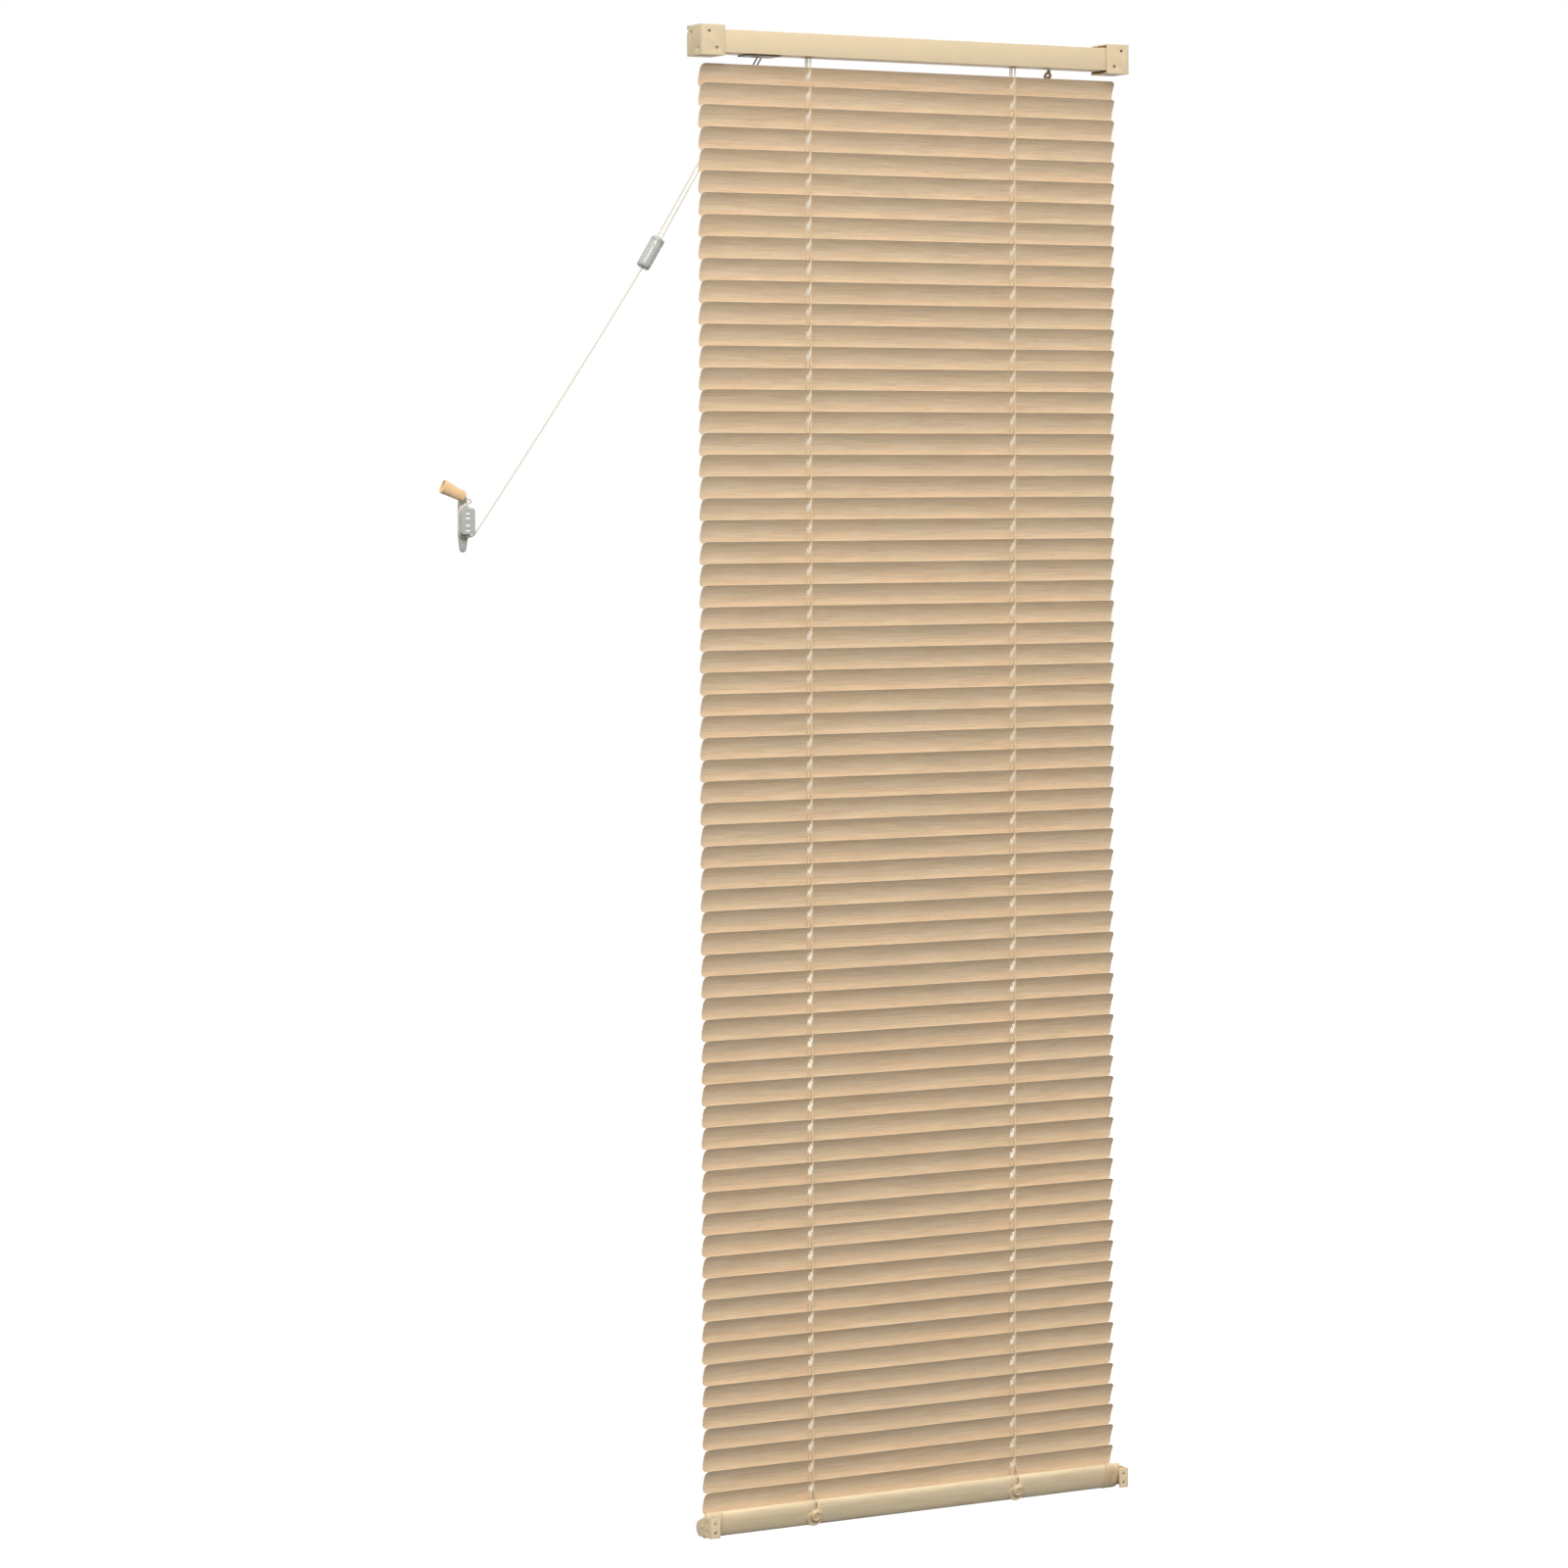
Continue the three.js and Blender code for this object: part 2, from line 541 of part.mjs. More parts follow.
function condenserBody() {
  const { r, length } = CONDENSER;
  const [low, high] = [-length / 2, length / 2 - 4.3];
  const shell = turned([
    [1.2, low], [r - 1.6, low], [r - 0.3, low + 1.6], [r, high - 9], [r - 0.5, high - 8.5],
    [r - 0.5, high - 7], [r, high - 6.5], [r, high], [r - 1.5, high], [r - 1.8, low + 2.4], [1.2, low + 2.4],
  ], 14);
  return placeCondenser(shell);
}

function condenserCap() {
  const { r, length } = CONDENSER;
  const high = length / 2;
  const cap = turned([
    [0, high - 7], [r - 2, high - 7], [r - 2, high - 4], [r, high - 4], [r, high - 1], [r - 1, high], [0, high],
  ], 14);
  const bores = [-2.4, 2.4].map((x) => bar('z', [x, 0], CORD_R + GAP * 1.6, high - 8, high + 1));
  return placeCondenser(cut(cap, ...bores));
}

function pullCord(which) {
  const start = [EXIT_X[which] - 0.3, CORD_Y[which], -29];
  return cordAlong([start, condenserPoint(which === 0 ? -2.4 : 2.4, CONDENSER.length / 2 - 5)]);
}

function tailCord() {
  const [x, y, z] = condenserPoint(0, -CONDENSER.length / 2);
  const end = [CLEAT.x + 10.4, 5.2, CLEAT.z - 10.6];
  const along = (t, sag) => [x + (end[0] - x) * t, y + (end[1] - y) * t, z + (end[2] - z) * t - sag];
  const points = [condenserPoint(0, 1.5 - CONDENSER.length / 2), along(0.03, 0.4), along(0.25, 2), along(0.5, 2.6),
    along(0.75, 2), along(0.97, 0.3), end];
  return cordAlong(points);
}

const tasselCord = () => cordAlong([
  [CLEAT.x + 8, 6.6, CLEAT.z + 10.5], [CLEAT.x + 8.6, 6.2, CLEAT.z + 14.5], [CLEAT.x + 7.6, 5.6, CLEAT.z + 18.2],
  [CLEAT.x + 4.8, 5, CLEAT.z + 20.3], [CLEAT.x + 1.7, 4.8, CLEAT.z + 21.4],
  [TASSEL.small[0] - 0.5, TASSEL.small[1], TASSEL.small[2] + 0.2],
]);

// Three turns of the cord round the cleat's neck, as one ring.
const cordWraps = () => moved(
  prism('y', stadium(CLEAT.neckR + 3.2, CLEAT.neckHalf + 3.2), 3.3, 8.8, [stadium(CLEAT.neckR + 0.35, CLEAT.neckHalf + 0.35)]),
  CLEAT.x, 0, CLEAT.z);

function cleat() {
  const { baseWidth, baseHalf, neckHalf, neckR, horn } = CLEAT;
  const edge = baseWidth / 2;
  const base = prism('y', [
    [-edge, 2 - baseHalf], [2 - edge, -baseHalf], [edge - 2, -baseHalf], [edge, 2 - baseHalf],
    [edge, baseHalf - 2], [edge - 2, baseHalf], [2 - edge, baseHalf], [-edge, baseHalf - 2],
  ], 0, 3);
  const neck = prism('y', stadium(neckR, neckHalf), 2.5, 11);
  const side = prism('x', [
    [9.8, -neckHalf - 1], [11.2, -horn + 2], [12.5, -horn], [14.4, -horn + 0.5], [15.2, -neckHalf],
    [15.2, neckHalf], [14.4, horn - 0.5], [12.5, horn], [11.2, horn - 2], [9.8, neckHalf + 1],
  ], -8, 8);
  const taper = [[4.3, 0], [4.2, neckHalf], [3.1, horn - 4], [2.5, horn - 1.4], [1.3, horn + 0.1]];
  const back = [...taper].reverse();
  const outline = [
    ...taper, ...back.map(([x, z]) => [-x, z]), ...taper.slice(1).map(([x, z]) => [-x, -z]),
    ...back.slice(0, -1).map(([x, z]) => [x, -z]),
  ];
  const horns = side.intersect(prism('y', outline, 0, 20));
  const screws = [-8.5, 7.9].map((z) => bar('y', [0, z], 1.7, 1.3, 20, 10));
  const recesses = [-8.5, -3.6, 3.3, 7.9].map((z) => prism(
    'y', stadium(1.25, 2.5, 3).map(([a, b]) => [b - 0.4, z - a]), -1, 0.7));
  return moved(cut(join(base, neck, horns), ...screws, ...recesses), CLEAT.x, 0, CLEAT.z);
}

function tassel() {
  const { small, large, r0, r1, flat, wall } = TASSEL;
  const length = Math.hypot(large[0] - small[0], large[2] - small[2]);
  const cup = turned([
    [1.8, 0], [r0 - 0.8, 0], [r0, 0.8], [r1, length - 0.6], [r1 - 0.4, length], [r1 - wall, length],
    [r0 - wall, 2], [1.8, 2],
  ], 14);
  const lean = Math.atan2(large[0] - small[0], large[2] - small[2]);
  return moved(turnedY(cup.scale([1, flat, 1]), lean), ...small);
}

// ---------- assembly ----------

const blind = new THREE.Group();
const add = (name, solid, material) => blind.add(named(name, solid, material));

add('headrail', headrail(), creamPaint);
for (const [word, side] of SIDES) {
  add(`${word}_bracket`, bracket(side), creamPaint);
  add(`${word}_bracket_door`, bracketDoor(side), creamPaint);
  add(`${word}_hinge_pin`, hingePin(side), zinc);
  add(`${word}_tilt_drum`, tiltDrum(side), whiteNylon);
  add(`${word}_drum_cradle`, drumCradle(side), whiteNylon);
  add(`${word}_ladder_back`, ladderBack(side), braid);
  add(`${word}_lift_cord`, liftCord(side), braid);
  add(`${word}_cord_knot`, cordKnot(side), braid);
  add(`${word}_end_cap`, endCap(side), woodVinyl);
  add(`${word}_rail_plug`, railPlug(side), woodVinyl);
  add(`${word}_hold_down`, holdDown(side), creamPaint);
  add(`${word}_hold_down_pin`, holdDownPin(side), creamPaint);
}
['left', 'right'].forEach((word, which) => {
  add(`${word}_cord_run`, cordRun(which), braid);
  add(`${word}_pull_cord`, pullCord(which), braid);
});

add('tilt_rod', tiltRod(), zinc);
add('tilt_gear', tiltGear(), whiteNylon);
add('tilt_worm', tiltWorm(), tanNylon);
add('tilter_housing', tilterHousing(), whiteNylon);
add('wand_hook', wandHook(), zinc);
add('hook_sleeve', hookSleeve(), clearPlastic);
add('wand', wand(), clearPlastic);
add('wand_tip', wandTip(), clearPlastic);

add('cord_lock_housing', cordLockHousing(), zinc);
add('lock_guide_roller', lockGuideRoller(), whiteNylon);
add('lock_brake_roller', lockBrakeRoller(), zinc);

for (let k = 0; k < SECTIONS; k += 1) {
  const number = (i) => String(i + 1).padStart(2, '0');
  add(`slats_${number(sectionFrom(k))}_${number(sectionTo(k))}`, slatSection(k), woodVinyl);
}
add('bottom_rail', bottomRail(), woodVinyl);

add('condenser_body', condenserBody(), clearPlastic);
add('condenser_cap', condenserCap(), clearPlastic);
add('tail_cord', tailCord(), braid);
add('cord_wraps', cordWraps(), braid);
add('tassel_cord', tasselCord(), braid);
add('tassel', tassel(), woodVinyl);
add('cleat', cleat(), clearPlastic);

export default blind;
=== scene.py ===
import math
import random

import bmesh
import bpy
from mathutils import Matrix, Vector


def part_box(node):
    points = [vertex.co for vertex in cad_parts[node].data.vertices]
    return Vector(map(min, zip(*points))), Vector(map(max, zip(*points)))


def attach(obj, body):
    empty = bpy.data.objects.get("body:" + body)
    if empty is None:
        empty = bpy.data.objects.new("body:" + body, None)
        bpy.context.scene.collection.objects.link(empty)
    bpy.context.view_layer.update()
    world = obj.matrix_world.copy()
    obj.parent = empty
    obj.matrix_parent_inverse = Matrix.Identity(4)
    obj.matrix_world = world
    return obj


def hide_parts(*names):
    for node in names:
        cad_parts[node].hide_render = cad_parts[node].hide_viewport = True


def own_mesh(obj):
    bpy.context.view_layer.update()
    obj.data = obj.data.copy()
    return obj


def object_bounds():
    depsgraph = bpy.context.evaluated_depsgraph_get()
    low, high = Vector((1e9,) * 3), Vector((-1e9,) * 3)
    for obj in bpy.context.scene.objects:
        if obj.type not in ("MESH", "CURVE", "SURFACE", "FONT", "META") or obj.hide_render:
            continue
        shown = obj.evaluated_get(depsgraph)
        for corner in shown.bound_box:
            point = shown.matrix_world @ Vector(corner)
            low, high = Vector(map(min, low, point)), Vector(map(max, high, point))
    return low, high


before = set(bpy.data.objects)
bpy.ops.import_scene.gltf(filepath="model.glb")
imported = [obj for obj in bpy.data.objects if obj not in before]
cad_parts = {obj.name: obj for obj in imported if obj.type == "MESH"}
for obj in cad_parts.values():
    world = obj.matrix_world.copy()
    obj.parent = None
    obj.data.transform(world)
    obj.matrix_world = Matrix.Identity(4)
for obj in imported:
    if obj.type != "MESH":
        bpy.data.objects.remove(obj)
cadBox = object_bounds()
mm = 0.001
sides = (("left", -1), ("right", 1))
random.seed(21)


# node trees

class Net:  # a node tree with short ways to add and join nodes
    def __init__(self, tree):
        self.tree = tree

    def add(self, kind, inputs=None, **settings):
        node = self.tree.nodes.new(kind)
        for key, value in settings.items():
            setattr(node, key, value)
        for key, value in (inputs or {}).items():
            if isinstance(value, bpy.types.NodeSocket):
                self.tree.links.new(value, node.inputs[key])
            else:
                node.inputs[key].default_value = value
        return node

    def join(self, output, socket):
        self.tree.links.new(output, socket)

    def apart(self, vector):
        return self.add("ShaderNodeSeparateXYZ", {0: vector}).outputs

    def times(self, a, b):
        return self.add("ShaderNodeVectorMath", {0: a, 1: b}, operation="MULTIPLY").outputs[0]

    def math(self, operation, a, b=0.0, c=0.0, clamp=False):
        settings = {"operation": operation, "use_clamp": clamp}
        return self.add("ShaderNodeMath", {0: a, 1: b, 2: c}, **settings).outputs[0]

    def curve(self, value, points, kind="AUTO"):  # a drawn curve from 0..1 to 0..1
        node = self.add("ShaderNodeFloatCurve", {"Value": value})
        line = node.mapping.curves[0]
        line.points[0].location = points[0]
        line.points[1].location = points[-1]
        for point in points[1:-1]:
            line.points.new(*point)
        for point in line.points:
            point.handle_type = kind
        node.mapping.update()
        return node.outputs[0]

    def mix(self, factor, a, b, blend="MIX"):
        settings = {"data_type": "RGBA", "blend_type": blend}
        return self.add("ShaderNodeMix", {0: factor, 6: a, 7: b}, **settings).outputs[2]

    def noise(self, vector, scale, detail, roughness=0.55):
        inputs = {"Vector": vector, "Scale": scale, "Detail": detail, "Roughness": roughness}
        return self.add("ShaderNodeTexNoise", inputs).outputs["Fac"]

    def stretched(self, vector, scale):
        return self.add("ShaderNodeMapping", {"Vector": vector, "Scale": scale}).outputs[0]


def newGroup(name, kind, inputs, outputs):
    tree = bpy.data.node_groups.new(name, kind)
    for label, socket, value in inputs:
        made = tree.interface.new_socket(label, in_out="INPUT", socket_type="NodeSocket" + socket)
        if value is not None:
            made.default_value = value
    for label, socket in outputs:
        tree.interface.new_socket(label, in_out="OUTPUT", socket_type="NodeSocket" + socket)
    net = Net(tree)
    given = net.add("NodeGroupInput").outputs
    result = net.add("NodeGroupOutput").inputs
    return net, given, result


# finishes

def tone(red, green, blue):  # a display colour, 0..255, as linear light
    def linear(c):
        c /= 255
        return c / 12.92 if c < 0.04045 else ((c + 0.055) / 1.055) ** 2.4
    return (linear(red), linear(green), linear(blue), 1)


grainPlan = {"along": 26.0, "bandScale": (0.45, 0.22, 0.22), "patchScale": (9.0, 20.0, 42.0),
             "poreScale": (3.0, 1.9, 1.9), "poresAbove": 0.66, "poreDepth": 0.35, "lineShare": 0.72,
             "contrast": 3.0, "warmth": 0.16, "redFrom": 0.92, "blueFrom": 1.97, "tint": 0.55}
mottlePlan = {"cloudShare": 0.8, "speckShare": 0.2, "speckScale": 2600.0, "gain": 4.0}
braidPlan = {"strands": 4.0, "perMm": 1.1}
# the dark cord colour below is painted shade, laid on the pull cords where they hang under the headrail
surfacePlan = {"grainGloss": 0.12, "grainBump": 0.25, "mottleGloss": 0.16, "mottleBump": 0.08,
               "bumpDepth": 0.0001, "braidBump": 0.4, "braidDepth": 0.0002, "paintedCordShade": tone(40, 33, 24)}


def makeGrainGroup():
    inputs = [("Vector", "Vector", None), ("Light", "Color", None), ("Dark", "Color", None),
              ("Streak", "Float", 900.0), ("Strength", "Float", 0.5)]
    outputs = [("Color", "Color"), ("Height", "Float")]
    net, given, result = newGroup("woodGrain", "ShaderNodeTree", inputs, outputs)
    streak = given["Streak"]
    along = net.add("ShaderNodeCombineXYZ", {0: grainPlan["along"], 1: streak, 2: streak}).outputs[0]
    fine = net.times(given["Vector"], along)
    lines = net.noise(fine, 1.0, 4.0, 0.65)
    bands = net.noise(net.times(fine, grainPlan["bandScale"]), 1.0, 2.0)
    patches = net.noise(net.stretched(given["Vector"], grainPlan["patchScale"]), 1.0, 2.0)
    pores = net.noise(net.times(fine, grainPlan["poreScale"]), 1.0, 1.0)
    poreMask = net.math("GREATER_THAN", pores, grainPlan["poresAbove"])
    share = grainPlan["lineShare"]
    value = net.math("ADD", net.math("MULTIPLY", lines, share), net.math("MULTIPLY", bands, 1 - share))
    value = net.math("MULTIPLY_ADD", net.math("SUBTRACT", value, 0.5), grainPlan["contrast"], 0.5, clamp=True)
    pitted = net.math("MULTIPLY", poreMask, grainPlan["poreDepth"])
    value = net.math("SUBTRACT", value, pitted, clamp=True)
    darkness = net.math("MULTIPLY", net.math("SUBTRACT", 1.0, value), given["Strength"])
    grained = net.mix(darkness, given["Light"], given["Dark"])
    warmth = net.math("MULTIPLY_ADD", patches, grainPlan["warmth"], grainPlan["redFrom"])
    blue = net.math("SUBTRACT", grainPlan["blueFrom"], warmth)
    tint = net.add("ShaderNodeCombineColor", {0: warmth, 1: 1.0, 2: blue}).outputs[0]
    net.join(net.mix(grainPlan["tint"], grained, tint, "MULTIPLY"), result["Color"])
    net.join(value, result["Height"])
    return net.tree


def makeMottleGroup():  # faint cloudy change of colour and gloss, with a little dust in it
    inputs = [("Vector", "Vector", None), ("Color", "Color", None), ("Amount", "Float", 0.06),
              ("Scale", "Float", 60.0)]
    outputs = [("Color", "Color"), ("Value", "Float")]
    net, given, result = newGroup("mottle", "ShaderNodeTree", inputs, outputs)
    cloud = net.math("MULTIPLY", net.noise(given["Vector"], given["Scale"], 4.0), mottlePlan["cloudShare"])
    speck = net.noise(given["Vector"], mottlePlan["speckScale"], 1.0)
    value = net.math("ADD", cloud, net.math("MULTIPLY", speck, mottlePlan["speckShare"]))
    gain = net.math("MULTIPLY", given["Amount"], mottlePlan["gain"])
    grey = net.math("MULTIPLY_ADD", net.math("SUBTRACT", value, 0.5), gain, 1.0)
    shade = net.add("ShaderNodeCombineColor", {0: grey, 1: grey, 2: grey}).outputs[0]
    net.join(net.mix(1.0, given["Color"], shade, "MULTIPLY"), result["Color"])
    net.join(value, result["Value"])
    return net.tree


def makeBraidGroup():  # strands crossing both ways round a cord, on its own map in millimetres
    inputs = [("Vector", "Vector", None), ("Light", "Color", None), ("Dark", "Color", None)]
    outputs = [("Color", "Color"), ("Height", "Float")]
    net, given, result = newGroup("braid", "ShaderNodeTree", inputs, outputs)
    place = net.apart(given["Vector"])
    strands = []
    for turn in (braidPlan["strands"], -braidPlan["strands"]):
        along = net.math("MULTIPLY", place[1], braidPlan["perMm"])
        phase = net.math("ADD", net.math("MULTIPLY", place[0], turn), along)
        strands.append(net.math("SINE", net.math("MULTIPLY", phase, math.tau)))
    height = net.math("MULTIPLY_ADD", net.math("MAXIMUM", *strands), 0.5, 0.5, clamp=True)
    # the braid's relief is real; the valleys between strands taking the dark colour is painted shade in the
    # creases
    net.join(net.mix(height, given["Dark"], given["Light"]), result["Color"])
    net.join(height, result["Height"])
    return net.tree


grainGroup = makeGrainGroup()
mottleGroup = makeMottleGroup()
braidGroup = makeBraidGroup()


def newMaterial(name, **shader):
    material = bpy.data.materials.new(name)
    material.use_nodes = True
    material.node_tree.nodes.clear()
    net = Net(material.node_tree)
    settings = {key.replace("_", " "): value for key, value in shader.items()}
    surface = net.add("ShaderNodeBsdfPrincipled", settings)
    net.add("ShaderNodeOutputMaterial", {"Surface": surface.outputs[0]})
    return material, net, surface.inputs, net.add("ShaderNodeTexCoord").outputs["Object"]


def bumpOn(net, sockets, height, strength, distance=surfacePlan["bumpDepth"]):
    bump = net.add("ShaderNodeBump", {"Height": height, "Strength": strength, "Distance": distance})
    net.join(bump.outputs[0], sockets["Normal"])


def grained(name, light, dark, streak, strength, gloss):
    material, net, sockets, place = newMaterial(name, Roughness=gloss, IOR=1.47)
    inputs = {"Vector": place, "Light": light, "Dark": dark, "Streak": streak, "Strength": strength}
    grain = net.add("ShaderNodeGroup", inputs, node_tree=grainGroup).outputs
    change = surfacePlan["grainGloss"]
    net.join(grain["Color"], sockets["Base Color"])
    net.join(net.math("MULTIPLY_ADD", grain["Height"], -change, gloss + change / 2), sockets["Roughness"])
    bumpOn(net, sockets, grain["Height"], surfacePlan["grainBump"])
    return material


def mottled(name, colour, amount, scale, gloss, **shader):
    material, net, sockets, place = newMaterial(name, Roughness=gloss, **shader)
    inputs = {"Vector": place, "Color": colour, "Amount": amount, "Scale": scale}
    mottle = net.add("ShaderNodeGroup", inputs, node_tree=mottleGroup).outputs
    change = surfacePlan["mottleGloss"]
    net.join(mottle["Color"], sockets["Base Color"])
    net.join(net.math("MULTIPLY_ADD", mottle["Value"], change, gloss - change / 2), sockets["Roughness"])
    bumpOn(net, sockets, mottle["Value"], surfacePlan["mottleBump"])
    return material


def braided(name, light, dark, paintedShadeBand=None):
    material, net, sockets, place = newMaterial(name, Roughness=0.85, Sheen_Weight=0.2)
    around = net.add("ShaderNodeUVMap", uv_map="around").outputs[0]
    braid = net.add("ShaderNodeGroup", {"Vector": around, "Light": light, "Dark": dark}, node_tree=braidGroup)
    colour = braid.outputs["Color"]
    if paintedShadeBand:  # painted shade: the cord is darkened from the first height up and fully above the second, where it hangs in the shade under the headrail
        low, high = paintedShadeBand
        paintedCordShade = net.add("ShaderNodeMapRange", {"Value": net.apart(place)[2], 1: low, 2: high}).outputs[0]
        colour = net.mix(paintedCordShade, colour, surfacePlan["paintedCordShade"])
    net.join(colour, sockets["Base Color"])
    bumpOn(net, sockets, braid.outputs["Height"], surfacePlan["braidBump"], surfacePlan["braidDepth"])
    return material


# mottled: colour, amount, scale, gloss; grained: light, dark, streaks per metre, strength, gloss
finishes = {
    "creamPaint": mottled("creamPaint", tone(235, 214, 177), 0.025, 45.0, 0.5, Specular_IOR_Level=0.3),
    "slatVinyl": grained("slatVinyl", tone(241, 218, 187), tone(200, 173, 138), 620.0, 0.6, 0.55),
    "railVinyl": grained("railVinyl", tone(248, 228, 191), tone(208, 184, 146), 430.0, 0.5, 0.42),
    "capVinyl": mottled("capVinyl", tone(228, 205, 167), 0.04, 120.0, 0.45),
    "cordBraid": braided("cordBraid", tone(255, 240, 206), tone(212, 184, 140)),
    # the pull cords carry painted shade near their top, under the headrail
    "drawnBraid": braided("drawnBraid", tone(236, 228, 208), tone(212, 202, 178), (-0.075, -0.045)),
    "clearPlastic": mottled("clearPlastic", tone(196, 196, 190), 0.03, 200.0, 0.2,
                            Transmission_Weight=0.12, IOR=1.45),
    # near-white finish for the cleat's recess floors: painted light for light coming through the thin plastic
    "paintedLightPlastic": mottled("paintedLightPlastic", tone(250, 250, 252), 0.02, 200.0, 0.4, Subsurface_Weight=0.3,
                           Subsurface_Scale=0.002),
    "wandPlastic": mottled("wandPlastic", tone(206, 209, 208), 0.03, 90.0, 0.24,
                           Transmission_Weight=0.45, IOR=1.47),
    "zincSteel": mottled("zincSteel", tone(150, 146, 138), 0.08, 150.0, 0.42, Metallic=0.9),
    # the lock housing's dark brown tone is painted shade, matched to the shaded underside of the headrail
    "lockSteelPaintedShade": mottled("lockSteelPaintedShade", tone(118, 106, 88), 0.06, 150.0, 0.5, Metallic=0.3),
    "whiteNylon": mottled("whiteNylon", tone(226, 221, 209), 0.03, 80.0, 0.5),
    "tanNylon": mottled("tanNylon", tone(158, 124, 92), 0.06, 160.0, 0.45),
    "tasselPlastic": grained("tasselPlastic", tone(248, 212, 164), tone(222, 178, 128), 800.0, 0.4, 0.42),
}
print("finishes ready:", len(finishes))


# ways of making a piece

def newObject(name, mesh):
    made = bpy.data.objects.new(name, mesh)
    bpy.context.scene.collection.objects.link(made)
    return made


def smoothMesh(mesh, sharpAngle=35):
    mesh.shade_smooth()
    mesh.set_sharp_from_angle(angle=math.radians(sharpAngle))


def faceOutward(mesh):
    shape = bmesh.new()
    shape.from_mesh(mesh)
    bmesh.ops.recalc_face_normals(shape, faces=shape.faces)
    shape.to_mesh(mesh)
    shape.free()


def pieceFrom(name, vertices, faces, finish, sharpAngle=35):
    mesh = bpy.data.meshes.new(name)
    mesh.from_pydata([Vector(v) * mm for v in vertices], [], faces)
    mesh.materials.append(finishes[finish])
    smoothMesh(mesh, sharpAngle)
    return newObject(name, mesh)


def settle(piece, body, *nodes):  # joins a piece to its body and the solids it stands for
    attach(piece, body)
    if nodes:
        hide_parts(*nodes)
    return piece


def skin(rings):  # closed at both ends; joins rings of the same number of points, one after another
    vertices = [point for ring in rings for point in ring]
    count = len(rings[0])
    faces = []
    for i in range(len(rings) - 1):
        for j in range(count):
            k = (j + 1) % count
            faces.append((i * count + j, i * count + k, (i + 1) * count + k, (i + 1) * count + j))
    faces.append(tuple(reversed(range(count))))
    faces.append(tuple(range(len(vertices) - count, len(vertices))))
    return vertices, faces


# turns a closed outline of (radius, height) about Z
def turned(name, profile, finish, place=Matrix(), segments=40, sharpAngle=40):
    mesh = bpy.data.meshes.new(name)
    shape = bmesh.new()
    loops = []
    for radius, height in profile:
        if radius < 1e-6:
            loops.append([shape.verts.new(place @ (Vector((0, 0, height)) * mm))] * segments)
            continue
        ring = []
        for i in range(segments):
            angle = math.tau * i / segments
            point = Vector((radius * math.cos(angle), radius * math.sin(angle), height)) * mm
            ring.append(shape.verts.new(place @ point))
        loops.append(ring)
    for upper, lower in zip(loops, loops[1:] + loops[:1]):
        for i in range(segments):
            corners = []
            for vertex in (upper[i], upper[(i + 1) % segments], lower[(i + 1) % segments], lower[i]):
                if vertex not in corners:
                    corners.append(vertex)
            if len(corners) > 2:
                shape.faces.new(corners)
    bmesh.ops.recalc_face_normals(shape, faces=shape.faces)
    shape.to_mesh(mesh)
    shape.free()
    mesh.materials.append(finishes[finish])
    smoothMesh(mesh, sharpAngle)
    return newObject(name, mesh)


def outlineFrom(radius, height, pairs):  # pairs count outwards from the radius and up from the height
    return [(radius + out, height + up) for out, up in pairs]


brokenEdge = {"back": 0.2, "along": 0.3}


def ringOutline(hole, radius, low, high, waist=()):  # a ring whose two outer edges are broken
    back, along = radius - brokenEdge["back"], brokenEdge["along"]
    return [(hole, low), (back, low), (radius, low + along), *waist, (radius, high - along), (back, high),
            (hole, high)]


def frameAlong(points):  # a smoothly carried pair of side directions at each point of a path
    tangents = []
    for i in range(len(points)):
        before = points[max(i - 1, 0)]
        after = points[min(i + 1, len(points) - 1)]
        tangents.append((after - before).normalized())
    side = tangents[0].orthogonal().normalized()
    result = []
    for tangent in tangents:
        side = (side - tangent * side.dot(tangent)).normalized()
        result.append((side, tangent.cross(side)))
    return result


# its map counts the turns round it and the millimetres along it
def tubeMesh(name, points, radius, finish="cordBraid", segments=8):
    points = [Vector(p) for p in points]
    rings, run = [], [0.0]
    for i, (side, up) in enumerate(frameAlong(points)):
        if i:
            run.append(run[-1] + (points[i] - points[i - 1]).length)
        ring = []
        for j in range(segments):
            angle = math.tau * j / segments
            ring.append(points[i] + (side * math.cos(angle) + up * math.sin(angle)) * radius)
        rings.append(ring)
    piece = pieceFrom(name, *skin(rings), finish, 60)
    layer = piece.data.uv_layers.new(name="around")
    for face in piece.data.polygons:
        corners = [(loop, piece.data.loops[loop].vertex_index) for loop in face.loop_indices]
        wraps = {vertex % segments for _, vertex in corners} == {0, segments - 1}
        for loop, vertex in corners:
            turn = vertex % segments
            if wraps and turn == 0:
                turn = segments
            layer.data[loop].uv = (turn / segments, run[vertex // segments])
    return piece


def smoothPath(points, per=6):  # Catmull-Rom through the points
    points = [Vector(p) for p in points]
    padded = [points[0] * 2 - points[1]] + points + [points[-1] * 2 - points[-2]]
    path = []
    for i in range(1, len(padded) - 2):
        a, b, c, d = padded[i - 1:i + 3]
        for k in range(per):
            t = k / per
            square = (2 * a - 5 * b + 4 * c - d) * t * t
            cube = (3 * b - a - 3 * c + d) * t ** 3
            path.append(0.5 * (2 * b + (c - a) * t + square + cube))
    path.append(points[-1])
    return path


softPlan = {"flatUnder": 1, "edgeOver": 32, "profile": 0.6, "sharpOver": 30}


